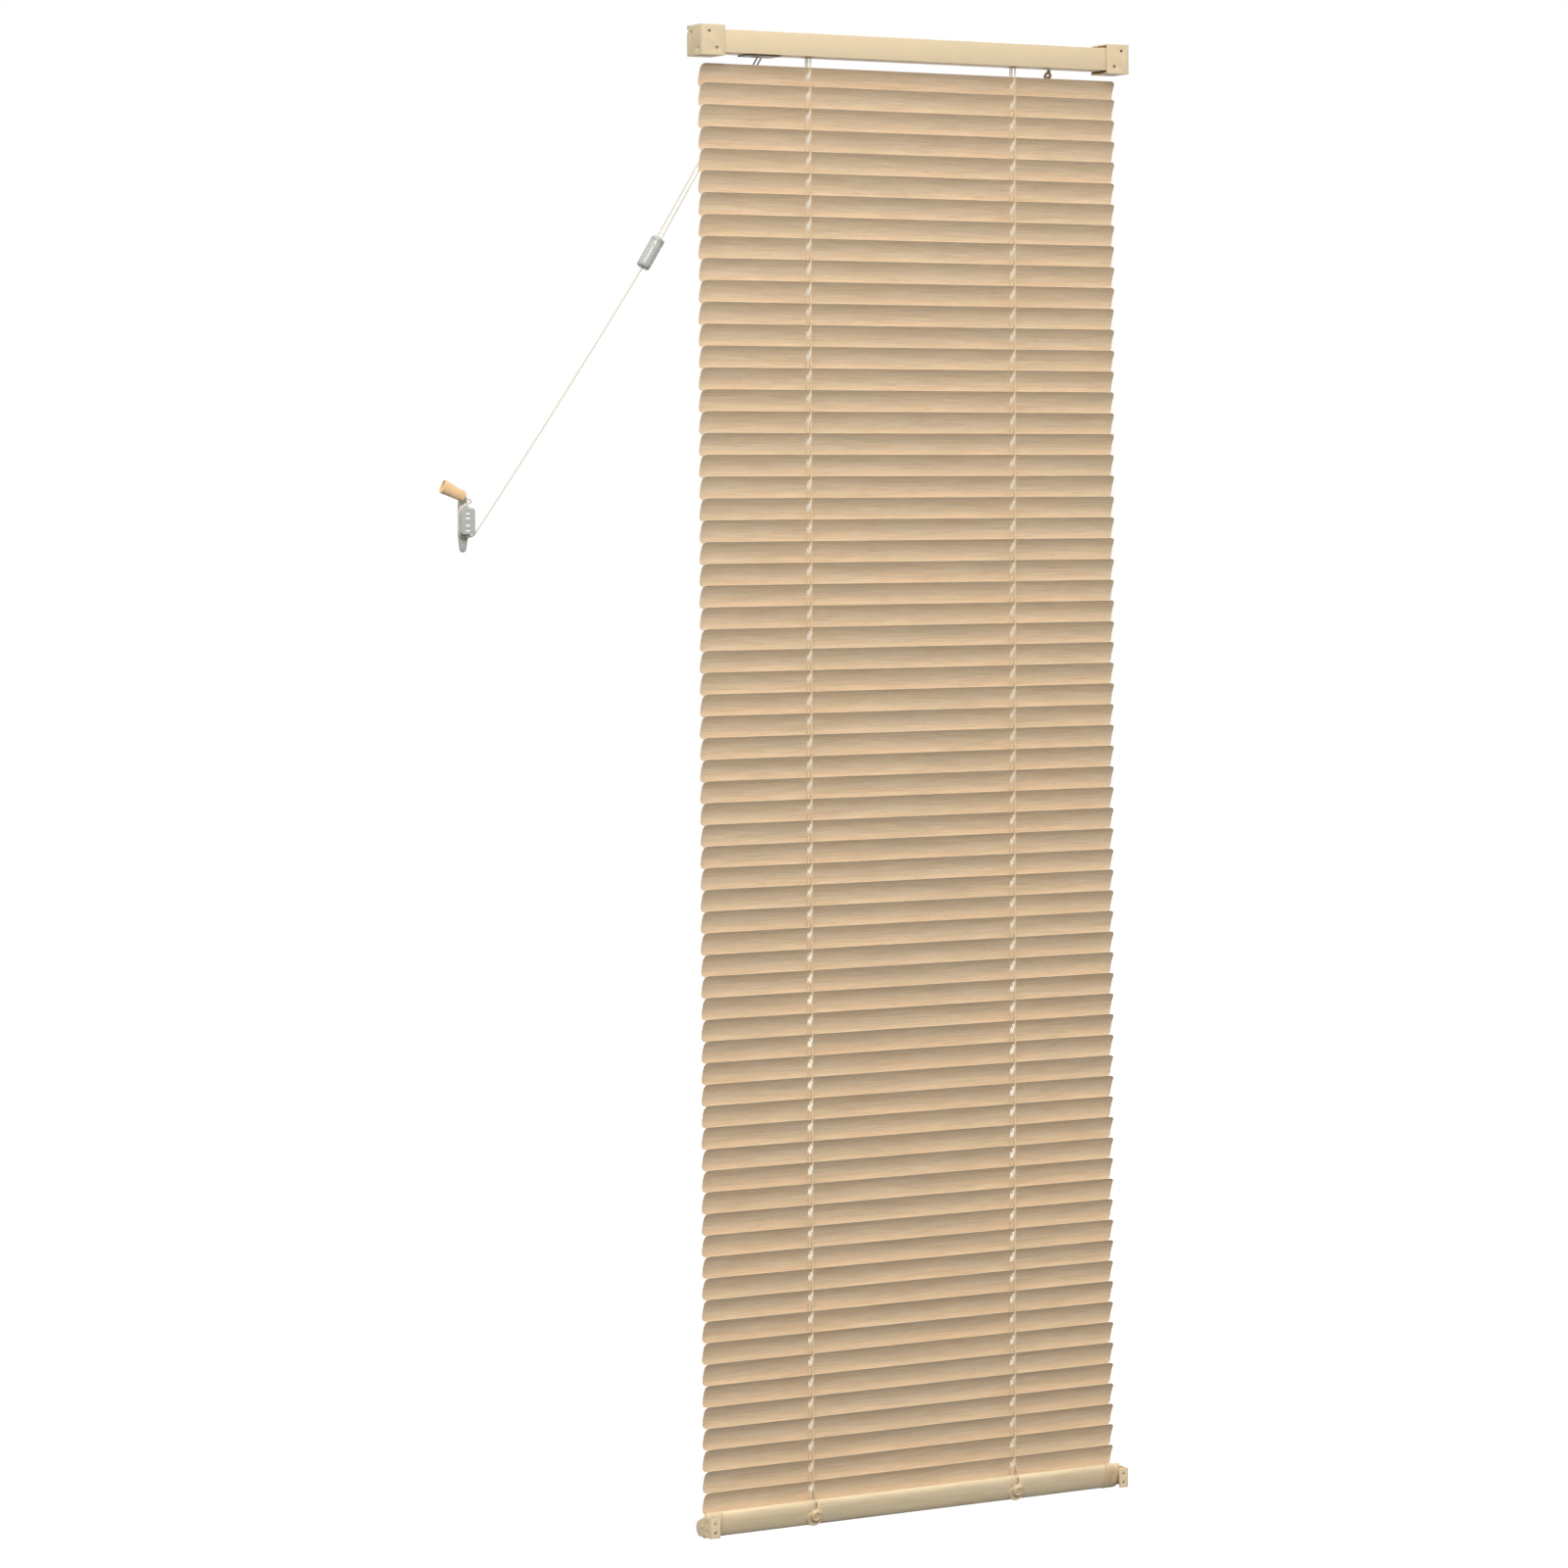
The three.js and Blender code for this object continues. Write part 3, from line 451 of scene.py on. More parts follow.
def soften(node, width, finish, body, segments=2):  # a CAD solid with its edges rounded
    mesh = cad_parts[node].data.copy()
    shape = bmesh.new()
    shape.from_mesh(mesh)
    bmesh.ops.remove_doubles(shape, verts=shape.verts, dist=1e-6)
    flat, sharp = math.radians(softPlan["flatUnder"]), math.radians(softPlan["edgeOver"])
    bmesh.ops.dissolve_limit(shape, angle_limit=flat, verts=shape.verts, edges=shape.edges)
    edges = [e for e in shape.edges if e.is_manifold and e.calc_face_angle(0) > sharp]
    bmesh.ops.bevel(shape, geom=edges, offset=width * mm, segments=segments, profile=softPlan["profile"],
                    affect="EDGES", clamp_overlap=True)
    shape.to_mesh(mesh)
    shape.free()
    mesh.materials.clear()
    mesh.materials.append(finishes[finish])
    for face in mesh.polygons:
        face.material_index = 0
    smoothMesh(mesh, softPlan["sharpOver"])
    return settle(newObject(node + "_piece", mesh), body, node)


def joined(name, pieces):
    shape = bmesh.new()
    for piece in pieces:
        shape.from_mesh(piece.data)
    mesh = bpy.data.meshes.new(name)
    shape.to_mesh(mesh)
    shape.free()
    mesh.materials.append(pieces[0].data.materials[0])
    for piece in pieces:
        bpy.data.objects.remove(piece)
    smoothMesh(mesh, 40)
    return newObject(name, mesh)


def dress(node, finish):  # a CAD solid kept as it is
    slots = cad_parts[node].data.materials
    slots.clear()
    slots.append(finishes[finish])


def turnTo(origin, direction):  # places a turned piece's Z along a direction
    turn = Vector((0, 0, 1)).rotation_difference(Vector(direction))
    return Matrix.Translation(Vector(origin) * mm) @ turn.to_matrix().to_4x4()


# camera

cameraPlan = {"eye": (-2.459, -4.116, -0.4453), "turn": -29.197, "tip": -2.559, "roll": -0.131,
              "lens": 108.85, "sensor": 36, "shift": -0.06, "far": 100}
lens = bpy.data.cameras.new("viewLens")
lens.lens = cameraPlan["lens"]
lens.sensor_width = cameraPlan["sensor"]
lens.shift_y = cameraPlan["shift"]
lens.clip_end = cameraPlan["far"]
camera = bpy.data.objects.new("viewCamera", lens)
camera.location = cameraPlan["eye"]
aimed = Matrix.Rotation(math.radians(cameraPlan["turn"]), 3, "Z")
aimed = aimed @ Matrix.Rotation(math.radians(90 + cameraPlan["tip"]), 3, "X")
camera.rotation_euler = (aimed @ Matrix.Rotation(math.radians(cameraPlan["roll"]), 3, "Z")).to_euler()
bpy.context.scene.collection.objects.link(camera)
bpy.context.scene.camera = camera


# cords: pull cords, tail, turns round the cleat and the link to the tassel

cordPlan = {"radius": 0.7, "sides": 10, "exitX": (-175.3, -169.8), "exitY": (22.7, 24.65), "exitZ": -29,
            "steps": 15, "apart": 2.4, "into": 5}
condenserPlan = {"centre": (-295, 23.2, -224.3), "length": 33.6, "radius": 7, "lean": 32.3, "hole": 1.2,
                 "wall": 1.7, "lidDepth": 4.3, "rings": 5, "firstRing": 3.6, "ringPitch": 4.3}
# pairs of radius and height, from the radius and the low end, a ring's start, the wall's rim or the top
condenserShape = {"foot": ((-1.9, 0), (-0.9, 0.3), (-0.3, 1.2)), "inside": 2.8, "floor": 2.4,
                  "ring": ((-0.08, 0), (0, 0.5), (0, 1.5), (-0.12, 2.1)), "rim": ((0, -1), (0, 0), (-1.5, 0)),
                  "lid": ((-2, -7), (-2, -4), (-0.2, -4), (0, -3.6), (0, -1.2), (-0.4, -0.3), (-1.3, 0))}
cleatPlan = {"x": -505, "z": -486, "neckRadius": 3.5, "neckHalf": 14}
wrapPlan = {"turns": 2.66, "from": 0.25, "points": 38, "fullTurns": 2.0, "climb": 0.12, "firstLayer": 1.05,
            "nextLayer": 1.5, "depth": 4.3, "depthPerTurn": 1.6, "lastTurnBack": 0.5, "leftShift": 0.7}
# the tail's points are x, depth and z from the cleat's middle, the last ones from the tassel's small end
tailPlan = {"into": 1.5, "steps": 17, "sag": 2.6, "sagLean": 0.15, "near": (10.4, 5.2, -10.6),
            "turnIn": ((8.2, 4.9, -13.1), (5, 4.75, -14.7), (2.2, 4.7, -15.1)),
            "link": ((-0.8, 5.8, 15.7), (3.2, 6.1, 17), (5.2, 6, 17.8), (5.5, 5.6, 19), (4.2, 5.1, 20.3)),
            "intoTassel": ((3.6, 0.05, -1.6), (-0.8, 0, 0.35))}
tasselPlan = {"small": (-506.9, 4.8, -462.9), "large": (-530, 4.8, -452.3), "radii": (5.2, 7), "flat": 0.62,
              "wall": 1, "hole": 1.8, "waistOut": 0.7, "waistAt": 0.45, "inside": 2.4, "floor": 2,
              "foot": ((-1.4, 0), (-0.4, 0.4), (0, 1.4)), "rim": ((-0.1, -1), (0, -0.5), (-0.4, 0))}

lean = math.radians(condenserPlan["lean"])
condenserAxis = Vector((math.sin(lean), 0, math.cos(lean)))
condenserAcross = Vector((math.cos(lean), 0, -math.sin(lean)))


def condenserPoint(across, along):
    return Vector(condenserPlan["centre"]) + condenserAcross * across + condenserAxis * along


def pathLength(points):
    return sum((b - a).length for a, b in zip(points, points[1:])) * mm


def fromCleat(point):
    return Vector((cleatPlan["x"] + point[0], point[1], cleatPlan["z"] + point[2]))


def necking():  # clockwise turns round the cleat's neck, seen from the wall
    start, count, fullTurns = wrapPlan["from"], wrapPlan["points"], wrapPlan["fullTurns"]
    straight = cleatPlan["neckHalf"] - cleatPlan["neckRadius"]
    points = []
    for i in range(count):
        share = start + (wrapPlan["turns"] - start) * i / (count - 1)
        layer = min(max((share - fullTurns) / wrapPlan["climb"], 0), 1)
        offset = wrapPlan["firstLayer"] + wrapPlan["nextLayer"] * layer * layer * (3 - 2 * layer)
        depth = wrapPlan["depth"] + wrapPlan["depthPerTurn"] * min(share, fullTurns)
        depth -= wrapPlan["lastTurnBack"] * max(share - fullTurns, 0)
        radius = cleatPlan["neckRadius"] + offset
        around = (share % 1) * (2 * math.pi * radius + 4 * straight)
        bend = math.pi * radius
        if around < straight:
            place = (radius, -around)
        elif around < straight + bend:
            angle = (around - straight) / radius
            place = (radius * math.cos(angle), -straight - radius * math.sin(angle))
        elif around < 3 * straight + bend:
            place = (-radius - wrapPlan["leftShift"], around - 2 * straight - bend)
        elif around < 3 * straight + 2 * bend:
            angle = (around - 3 * straight - bend) / radius
            place = (-radius * math.cos(angle), straight + radius * math.sin(angle))
        else:
            place = (radius, 4 * straight + 2 * bend - around)
        points.append(fromCleat((place[0], depth, place[1])))
    return points


def makeCords():
    made = {}
    radius, facets, steps = cordPlan["radius"], cordPlan["sides"], cordPlan["steps"]
    for which, (word, side) in enumerate(sides):
        start = Vector((cordPlan["exitX"][which], cordPlan["exitY"][which], cordPlan["exitZ"]))
        end = condenserPoint(side * cordPlan["apart"], condenserPlan["length"] / 2 - cordPlan["into"])
        path = [start.lerp(end, i / steps) for i in range(steps + 1)]
        cord = tubeMesh(word + "PullCord", path, radius, "drawnBraid", facets)
        settle(cord, "frame", word + "_pull_cord")
        made[word] = (cord, path)
    top = condenserPoint(0, tailPlan["into"] - condenserPlan["length"] / 2)
    near = fromCleat(tailPlan["near"])
    hang = []
    for i in range(tailPlan["steps"] + 1):
        share = i / tailPlan["steps"]
        sag = tailPlan["sag"] * math.sin(math.pi * share) * (1 - tailPlan["sagLean"] * share)
        hang.append(top + (near - top) * share - Vector((0, 0, sag)))
    wraps = necking()
    turnIn = [fromCleat(p) for p in tailPlan["turnIn"]]
    link = [fromCleat(p) for p in tailPlan["link"]]
    link += [Vector(tasselPlan["small"]) + Vector(p) for p in tailPlan["intoTassel"]]
    path = hang[:-1] + smoothPath([hang[-1]] + turnIn + [wraps[0]], 4)[:-1] + smoothPath(wraps, 2)[:-1]
    path += smoothPath([wraps[-1]] + link, 5)
    tail = tubeMesh("tailCord", path, radius, "drawnBraid", facets)
    settle(tail, "frame", "tail_cord", "cord_wraps", "tassel_cord")
    made["tail"] = (tail, path)
    return made


def makeCondenser():
    radius, half, hole = condenserPlan["radius"], condenserPlan["length"] / 2, condenserPlan["hole"]
    place = turnTo(condenserPlan["centre"], condenserAxis)
    low, high = -half, half - condenserPlan["lidDepth"]
    profile = [(hole, low), *outlineFrom(radius, low, condenserShape["foot"])]
    for i in range(condenserPlan["rings"]):  # shallow rings round the wall
        at = low + condenserPlan["firstRing"] + i * condenserPlan["ringPitch"]
        profile += outlineFrom(radius, at, condenserShape["ring"])
    profile += outlineFrom(radius, high, condenserShape["rim"])
    profile.append((radius - condenserPlan["wall"], low + condenserShape["inside"]))
    profile.append((hole, low + condenserShape["floor"]))
    body = turned("condenserBody", profile, "clearPlastic", place)
    lid = outlineFrom(radius, half, condenserShape["lid"])
    cap = turned("condenserCap", [(0, lid[0][1]), *lid, (0, half)], "clearPlastic", place)
    return settle(body, "frame", "condenser_body"), settle(cap, "frame", "condenser_cap")


def makeTassel():
    small, large = Vector(tasselPlan["small"]), Vector(tasselPlan["large"])
    length = (large - small).length
    r0, r1 = tasselPlan["radii"]
    wall, hole = tasselPlan["wall"], tasselPlan["hole"]
    profile = [(hole, 0), *outlineFrom(r0, 0, tasselPlan["foot"])]
    profile.append((r0 + tasselPlan["waistOut"], length * tasselPlan["waistAt"]))
    profile += outlineFrom(r1, length, tasselPlan["rim"])
    profile += [(r1 - wall, length), (r0 - wall, tasselPlan["inside"]), (hole, tasselPlan["floor"])]
    place = turnTo(small, large - small) @ Matrix.Diagonal((1, tasselPlan["flat"], 1, 1))
    tassel = turned("tasselBell", profile, "tasselPlastic", place, 48)
    return settle(tassel, "frame", "tassel")


cords = makeCords()
condenser = makeCondenser()
tasselPiece = makeTassel()
print("cords:", [round(pathLength(path), 4) for _, path in cords.values()])


# slats

slatPlan = {"count": 67, "perSection": 7, "tilt": 71, "tiltWobble": 0.5, "endWobble": 0.25, "y": 18.2,
            "firstZ": -48.6, "secondZ": -67.2, "pitch": 21.55, "openShare": 0.14, "acrossPoints": 17,
            "farColumn": 0.75, "cornerColumns": (1, 0.5, 0.15, 0), "mergeUnder": 0.01}
slatShape = {"Length": 485.0, "Width": 25.0, "Crown": 2.0, "Thickness": 0.45, "Corner": 4.8,
             "Slot Length": 3.8, "Slot Width": 11.2, "Slot Shift": -2.4, "Ladder X": 120.0,
             "Rung Radius": 0.68, "Rung Spread": 1.9}
rungPlan = {"from": -13.2, "to": 13.9, "points": 15, "facets": 6, "under": -0.75, "rise": 1.55,
            "spread": ((0, 0), (0.1, 0.16), (0.3, 0.85), (0.5, 1), (0.7, 0.85), (0.9, 0.16), (1, 0)),
            "lift": ((0, 0.3), (0.07, 0), (0.93, 0), (1, 1))}
ladderX = slatShape["Ladder X"]


def makeSlatTree():
    # one slat, flat, crown up, with its cord slots and the rungs that carry it
    inputs = [(label, "Float", value) for label, value in slatShape.items()]
    inputs += [("Slat Finish", "Material", None), ("Cord Finish", "Material", None)]
    net, given, result = newGroup("slatWithRungs", "GeometryNodeTree", inputs, [("Geometry", "Geometry")])
    halfLength = net.math("MULTIPLY", given["Length"], 0.5)
    halfWidth = net.math("MULTIPLY", given["Width"], 0.5)
    slotHalf = net.math("MULTIPLY", given["Slot Length"], 0.5)
    ladder, corner = given["Ladder X"], given["Corner"]
    stops = [0.0, net.math("MULTIPLY", ladder, 0.5), net.math("SUBTRACT", ladder, slotHalf),
             net.math("ADD", ladder, slotHalf), net.math("MULTIPLY", halfLength, slatPlan["farColumn"])]
    for share in slatPlan["cornerColumns"]:
        stops.append(net.math("SUBTRACT", halfLength, net.math("MULTIPLY", corner, share)))
    last = len(stops) - 1
    cells = {"Size X": 1.0, "Size Y": 1.0, "Vertices X": 2 * last + 1, "Vertices Y": slatPlan["acrossPoints"]}
    grid = net.add("GeometryNodeMeshGrid", cells)
    place = net.apart(net.add("GeometryNodeInputPosition").outputs[0])
    step = net.math("MULTIPLY", net.math("ABSOLUTE", place[0]), 2.0 * last)  # 0 at mid-length, last at an end
    reach = stops[0]
    for i in range(1, len(stops)):  # the columns stand only where the shape needs them
        beyond = net.math("SUBTRACT", step, float(i - 1), clamp=True)
        gap = net.math("SUBTRACT", stops[i], stops[i - 1])
        reach = net.math("ADD", reach, net.math("MULTIPLY", beyond, gap))
    x = net.math("MULTIPLY", reach, net.math("SIGN", place[0]))
    past = net.math("ADD", net.math("SUBTRACT", corner, halfLength), reach)
    inCorner = net.math("MAXIMUM", past, 0.0)
    square = net.math("SUBTRACT", net.math("POWER", corner, 2.0), net.math("POWER", inCorner, 2.0))
    narrowed = net.math("ADD", net.math("SUBTRACT", halfWidth, corner), net.math("SQRT", square))
    across = net.math("MULTIPLY", net.math("MULTIPLY", place[1], 2.0), narrowed)
    bow = net.math("POWER", net.math("ABSOLUTE", net.math("DIVIDE", across, halfWidth)), 2.0)
    height = net.math("MULTIPLY", given["Crown"], net.math("SUBTRACT", 0.5, bow))
    curved = net.add("ShaderNodeCombineXYZ", {0: x, 1: across, 2: height}).outputs[0]
    shaped = net.add("GeometryNodeSetPosition", {"Geometry": grid.outputs[0], "Position": curved}).outputs[0]
    now = net.apart(net.add("GeometryNodeInputPosition").outputs[0])
    fromLadder = net.math("ABSOLUTE", net.math("SUBTRACT", net.math("ABSOLUTE", now[0]), ladder))
    fromSlot = net.math("ABSOLUTE", net.math("SUBTRACT", now[1], given["Slot Shift"]))
    slotDepth = net.math("MULTIPLY", given["Slot Width"], 0.5)
    inSlot = net.math("MULTIPLY", net.math("LESS_THAN", fromLadder, slotHalf),
                      net.math("LESS_THAN", fromSlot, slotDepth))
    cut = net.add("GeometryNodeDeleteGeometry", {"Geometry": shaped, "Selection": inSlot}, domain="FACE")
    sheet = cut.outputs[0]
    thickness = {"Mesh": sheet, "Offset Scale": given["Thickness"], "Individual": False}
    thick = net.add("GeometryNodeExtrudeMesh", thickness)
    under = net.add("GeometryNodeFlipFaces", {"Mesh": sheet})
    shell = net.add("GeometryNodeJoinGeometry")
    net.join(thick.outputs[0], shell.inputs[0])
    net.join(under.outputs[0], shell.inputs[0])
    merged = {"Geometry": shell.outputs[0], "Distance": slatPlan["mergeUnder"]}
    closed = net.add("GeometryNodeMergeByDistance", merged).outputs[0]
    slat = net.add("GeometryNodeSetMaterial", {"Geometry": closed, "Material": given["Slat Finish"]})

    strands = net.add("GeometryNodeJoinGeometry")
    ends = {"Start": (0.0, rungPlan["from"], 0.0), "End": (0.0, rungPlan["to"], 0.0)}
    wire = {"Resolution": rungPlan["facets"], "Radius": given["Rung Radius"]}
    for sign in (1.0, -1.0):
        line = net.add("GeometryNodeCurvePrimitiveLine", ends).outputs[0]
        fine = net.add("GeometryNodeResampleCurve", {"Curve": line, "Count": rungPlan["points"]}).outputs[0]
        share = net.add("GeometryNodeSplineParameter").outputs["Factor"]
        spread = net.curve(share, rungPlan["spread"])
        lift = net.curve(share, rungPlan["lift"], "VECTOR")
        sideways = net.math("MULTIPLY", net.math("MULTIPLY", spread, given["Rung Spread"]), sign)
        below = net.math("MULTIPLY_ADD", given["Crown"], -0.5, rungPlan["under"])
        raised = net.math("MULTIPLY_ADD", lift, rungPlan["rise"], below)
        move = net.add("ShaderNodeCombineXYZ", {0: sideways, 2: raised}).outputs[0]
        bent = net.add("GeometryNodeSetPosition", {"Geometry": fine, "Offset": move}).outputs[0]
        rim = net.add("GeometryNodeCurvePrimitiveCircle", wire).outputs[0]
        strand = net.add("GeometryNodeCurveToMesh", {"Curve": bent, "Profile Curve": rim, "Fill Caps": True})
        net.join(strand.outputs[0], strands.inputs[0])
    ladders = net.add("GeometryNodePoints", {"Count": 2})
    which = net.add("GeometryNodeInputIndex").outputs[0]
    half = net.math("SUBTRACT", net.math("MULTIPLY", which, 2.0), 1.0)
    spot = net.add("ShaderNodeCombineXYZ", {0: net.math("MULTIPLY", half, ladder)}).outputs[0]
    net.join(spot, ladders.inputs["Position"])
    pair = {"Points": ladders.outputs[0], "Instance": strands.outputs[0]}
    rungs = net.add("GeometryNodeInstanceOnPoints", pair).outputs[0]
    solid = net.add("GeometryNodeRealizeInstances", {"Geometry": rungs}).outputs[0]
    corded = net.add("GeometryNodeSetMaterial", {"Geometry": solid, "Material": given["Cord Finish"]})
    everything = net.add("GeometryNodeJoinGeometry")
    net.join(slat.outputs[0], everything.inputs[0])
    net.join(corded.outputs[0], everything.inputs[0])
    net.join(everything.outputs[0], result[0])
    return net.tree


def grow(tree, values):  # evaluates a tree once and gives its plain mesh
    host = newObject("host", bpy.data.meshes.new("host"))
    modifier = host.modifiers.new("grow", "NODES")
    modifier.node_group = tree
    for item in tree.interface.items_tree:
        if item.in_out == "INPUT" and item.name in values:
            modifier[item.identifier] = values[item.name]
    seen = host.evaluated_get(bpy.context.evaluated_depsgraph_get())
    mesh = bpy.data.meshes.new_from_object(seen)
    bpy.data.objects.remove(host)
    return mesh


def slatHeight(i):
    return slatPlan["firstZ"] if i == 0 else slatPlan["secondZ"] - (i - 1) * slatPlan["pitch"]


def makeSlats():
    materials = {"Slat Finish": finishes["slatVinyl"], "Cord Finish": finishes["cordBraid"]}
    flat = grow(makeSlatTree(), {**slatShape, **materials})
    smoothMesh(flat, 50)
    print("one slat:", len(flat.polygons), "faces,", [m and m.name for m in flat.materials])
    sections = [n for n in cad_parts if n.startswith("slats_")]
    for i in range(slatPlan["count"]):
        number = i // slatPlan["perSection"] + 1
        loose = slatPlan["tiltWobble"]
        wobble = random.uniform(-loose, loose) if 0 < i < slatPlan["count"] - 1 else 0
        turn = Matrix.Rotation(math.radians(-slatPlan["tilt"] + wobble), 4, "X")
        aside = random.uniform(-slatPlan["endWobble"], slatPlan["endWobble"])
        spot = Vector((aside, slatPlan["y"], slatHeight(i))) * mm
        mesh = flat.copy()
        mesh.transform(Matrix.Translation(spot) @ turn @ Matrix.Scale(mm, 4))
        slat = newObject(f"slat{i + 1:02d}", mesh)
        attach(slat, "frame" if number == 1 else f"section_{number:02d}")
        if i % slatPlan["perSection"] == 0:
            first = f"slats_{i + 1:02d}"
            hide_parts(next(n for n in sections if n.startswith(first)))
        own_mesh(slat)


makeSlats()
print("slats hung:", slatPlan["count"])


# ladder strings and lift cords

# spots are x from the ladder, y from its front and z from where the string meets the rail
ladderPlan = {"front": 12.8, "back": 22.5, "radius": 0.6, "top": -19.4, "down": (-400, -800, -1200),
              "aboveRail": 13.4, "end": ((0, 0, 16), (0, 0, 13), (1.7, 0.1, 8), (3.9, 0.4, 0.2)),
              "fork": ((-0.2, 0, 14), (-2.2, 0.1, 8), (-3.2, 0.4, 0.2)), "backEnd": 10, "foldEnd": 12}
liftPlan = {"y": 18.85, "radius": 0.6, "top": -25.4, "down": (-500, -1000), "intoRail": 1.8}
railPlan = {"x": 3.5, "y": 18.2, "z": -1489.8, "halfWidth": 13.8, "halfThick": 4.8, "wall": 1, "half": 227.7,
            "capEnd": 245.8, "raise": 1272, "shoulder": 2.4, "edge": 0.4, "edgeShare": 0.985}


def byRail(x, points):
    y, z = ladderPlan["front"], railPlan["z"] + ladderPlan["aboveRail"]
    return [(x + p[0], y + p[1], z + p[2]) for p in points]


def makeLadders():
    end = railPlan["z"]
    top, liftTop, fold = ladderPlan["top"], liftPlan["top"], ladderPlan["foldEnd"]
    down = (top, *ladderPlan["down"])
    for word, side in sides:
        x = side * ladderX
        front = [(x, ladderPlan["front"], z) for z in down] + byRail(x, ladderPlan["end"])
        back = [(x, ladderPlan["back"], z) for z in (*down, end + ladderPlan["backEnd"])]
        for label, points in (("Front", front), ("Back", back)):
            string = tubeMesh(f"{word}Ladder{label}", points, ladderPlan["radius"])
            if label == "Front":  # the string splits over the rail and ends on both sides of the clip
                fork = tubeMesh("fork", byRail(x, ladderPlan["fork"]), ladderPlan["radius"])
                string = joined(string.name, [string, fork])
            nodes = [word + "_ladder_back"] if label == "Back" else []
            settle(string, "frame", *nodes)
            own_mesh(string)
        points = [(x, liftPlan["y"], z) for z in (liftTop, *liftPlan["down"], end + liftPlan["intoRail"])]
        cord = tubeMesh(f"{word}LiftCord", points, liftPlan["radius"])
        settle(cord, "frame", word + "_lift_cord")
        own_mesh(cord)
        dress(word + "_cord_knot", "cordBraid")


makeLadders()
print("ladders and lift cords hung")


# bottom rail

# half lengths from the ladder or the plug, and the band each hole takes across the rail
holePlan = {"cord": 1.4, "cordBand": (-10.8, 2), "plug": 4.6, "plugBand": (-1.8, 7.8), "slit": 1.2,
            "slitBand": (-12.8, -5.6), "byLadder": (-2.8, -1.5, 1.5),
            "byPlug": (-7.4, -4.6, 0, 1.2, 4.6, 7.4)}
# pairs of x and growth, from the rail's end and from the cap's own end
capPlan = {"fromRail": ((-6, -1.7), (-5.4, -1.4), (0.3, -1.4), (0.3, 0.2), (0.6, 0.5), (1.2, 0.5), (9.3, 0.5),
                        (9.7, 0.3), (10.1, 0.5)),
           "fromEnd": ((-3.6, 0.4), (-1.6, 0.1), (-0.7, -0.4), (-0.15, -1.2), (0, -2.4)),
           "slotHalf": 1.75, "slotReach": (-6, 1), "slotDown": 20}
# outlines of radius and height over the rail's skin; the clip's pairs are x from the plug and how proud
plugPlan = {"shift": 2.5, "across": 3, "sunk": 0.33,
            "disc": ((0, 2.4), (4.3, 2.4), (4.5, 2.1), (4.5, 0), (9, 0), (9.2, -0.3), (9.2, -1), (8.9, -1.6),
                     (8.3, -1.9), (7.6, -1.7), (7.2, -1.3), (0, -1.3)),
            "knob": ((0, -1), (5.3, -1), (5.3, -3.5), (5.05, -4), (4.5, -4.2), (3.9, -4), (3.6, -3.7),
                     (0, -3.7)),
            "clip": ((-9.2, 0.25), (-8.9, 0.6), (-0.5, 0.6), (-0.2, 0.25)), "clipInside": 0.05,
            "clipBelow": (-5, 1.6)}


def oval(halfWidth, halfThick, count=56):  # an oval with squared shoulders
    power = 2 / railPlan["shoulder"]
    points = []
    for i in range(count):
        a = math.tau * (i + 0.5) / count
        across = halfWidth * math.copysign(abs(math.cos(a)) ** power, math.cos(a))
        points.append((across, halfThick * math.copysign(abs(math.sin(a)) ** power, math.sin(a))))
    return points


def onRail(x, across, up):  # from the rail lying flat to the closed blind
    tilt = math.radians(slatPlan["tilt"])
    y = across * math.cos(tilt) + up * math.sin(tilt)
    z = -across * math.sin(tilt) + up * math.cos(tilt)
    return Vector((x, railPlan["y"] + y, railPlan["z"] + z))


railPlace = Matrix.Translation(Vector((0, railPlan["y"], railPlan["z"])) * mm) @ Matrix.Rotation(
    math.radians(-slatPlan["tilt"]), 4, "X")


def within(value, band):
    return band[0] < value < band[1]


def makeRail():
    outline = oval(railPlan["halfWidth"], railPlan["halfThick"])
    count = len(outline)
    left, right = railPlan["x"] - railPlan["half"], railPlan["x"] + railPlan["half"]
    columns = [left, left + railPlan["edge"], right - railPlan["edge"], right]
    for _, side in sides:
        columns += [side * ladderX + away for away in holePlan["byLadder"]]
        columns += [side * ladderX + plugPlan["shift"] + away for away in holePlan["byPlug"]]
    columns.sort()
    vertices, faces = [], []
    for x in columns:
        shrink = railPlan["edgeShare"] if x in (left, right) else 1
        vertices += [onRail(x, w * shrink, v * shrink) for w, v in outline]
    for i in range(len(columns) - 1):
        middle = (columns[i] + columns[i + 1]) / 2
        off = abs(middle) - ladderX
        offPlug = middle - math.copysign(ladderX, middle) - plugPlan["shift"]
        for j in range(count):
            k = (j + 1) % count
            w, v = (outline[j][0] + outline[k][0]) / 2, (outline[j][1] + outline[k][1]) / 2
            cordHole = v > 0 and abs(off) < holePlan["cord"] and within(w, holePlan["cordBand"])
            plugHole = v < 0 and abs(offPlug) < holePlan["plug"] and within(w, holePlan["plugBand"])
            slit = v < 0 and 0 < offPlug < holePlan["slit"] and within(w, holePlan["slitBand"])
            if not (cordHole or plugHole or slit):
                faces.append((i * count + j, i * count + k, (i + 1) * count + k, (i + 1) * count + j))
    rail = pieceFrom("bottomRail", vertices, faces, "railVinyl", 50)
    faceOutward(rail.data)
    wall = rail.modifiers.new("wall", "SOLIDIFY")
    wall.thickness = railPlan["wall"] * mm
    wall.offset = -1
    return settle(rail, "bottom_rail", "bottom_rail")


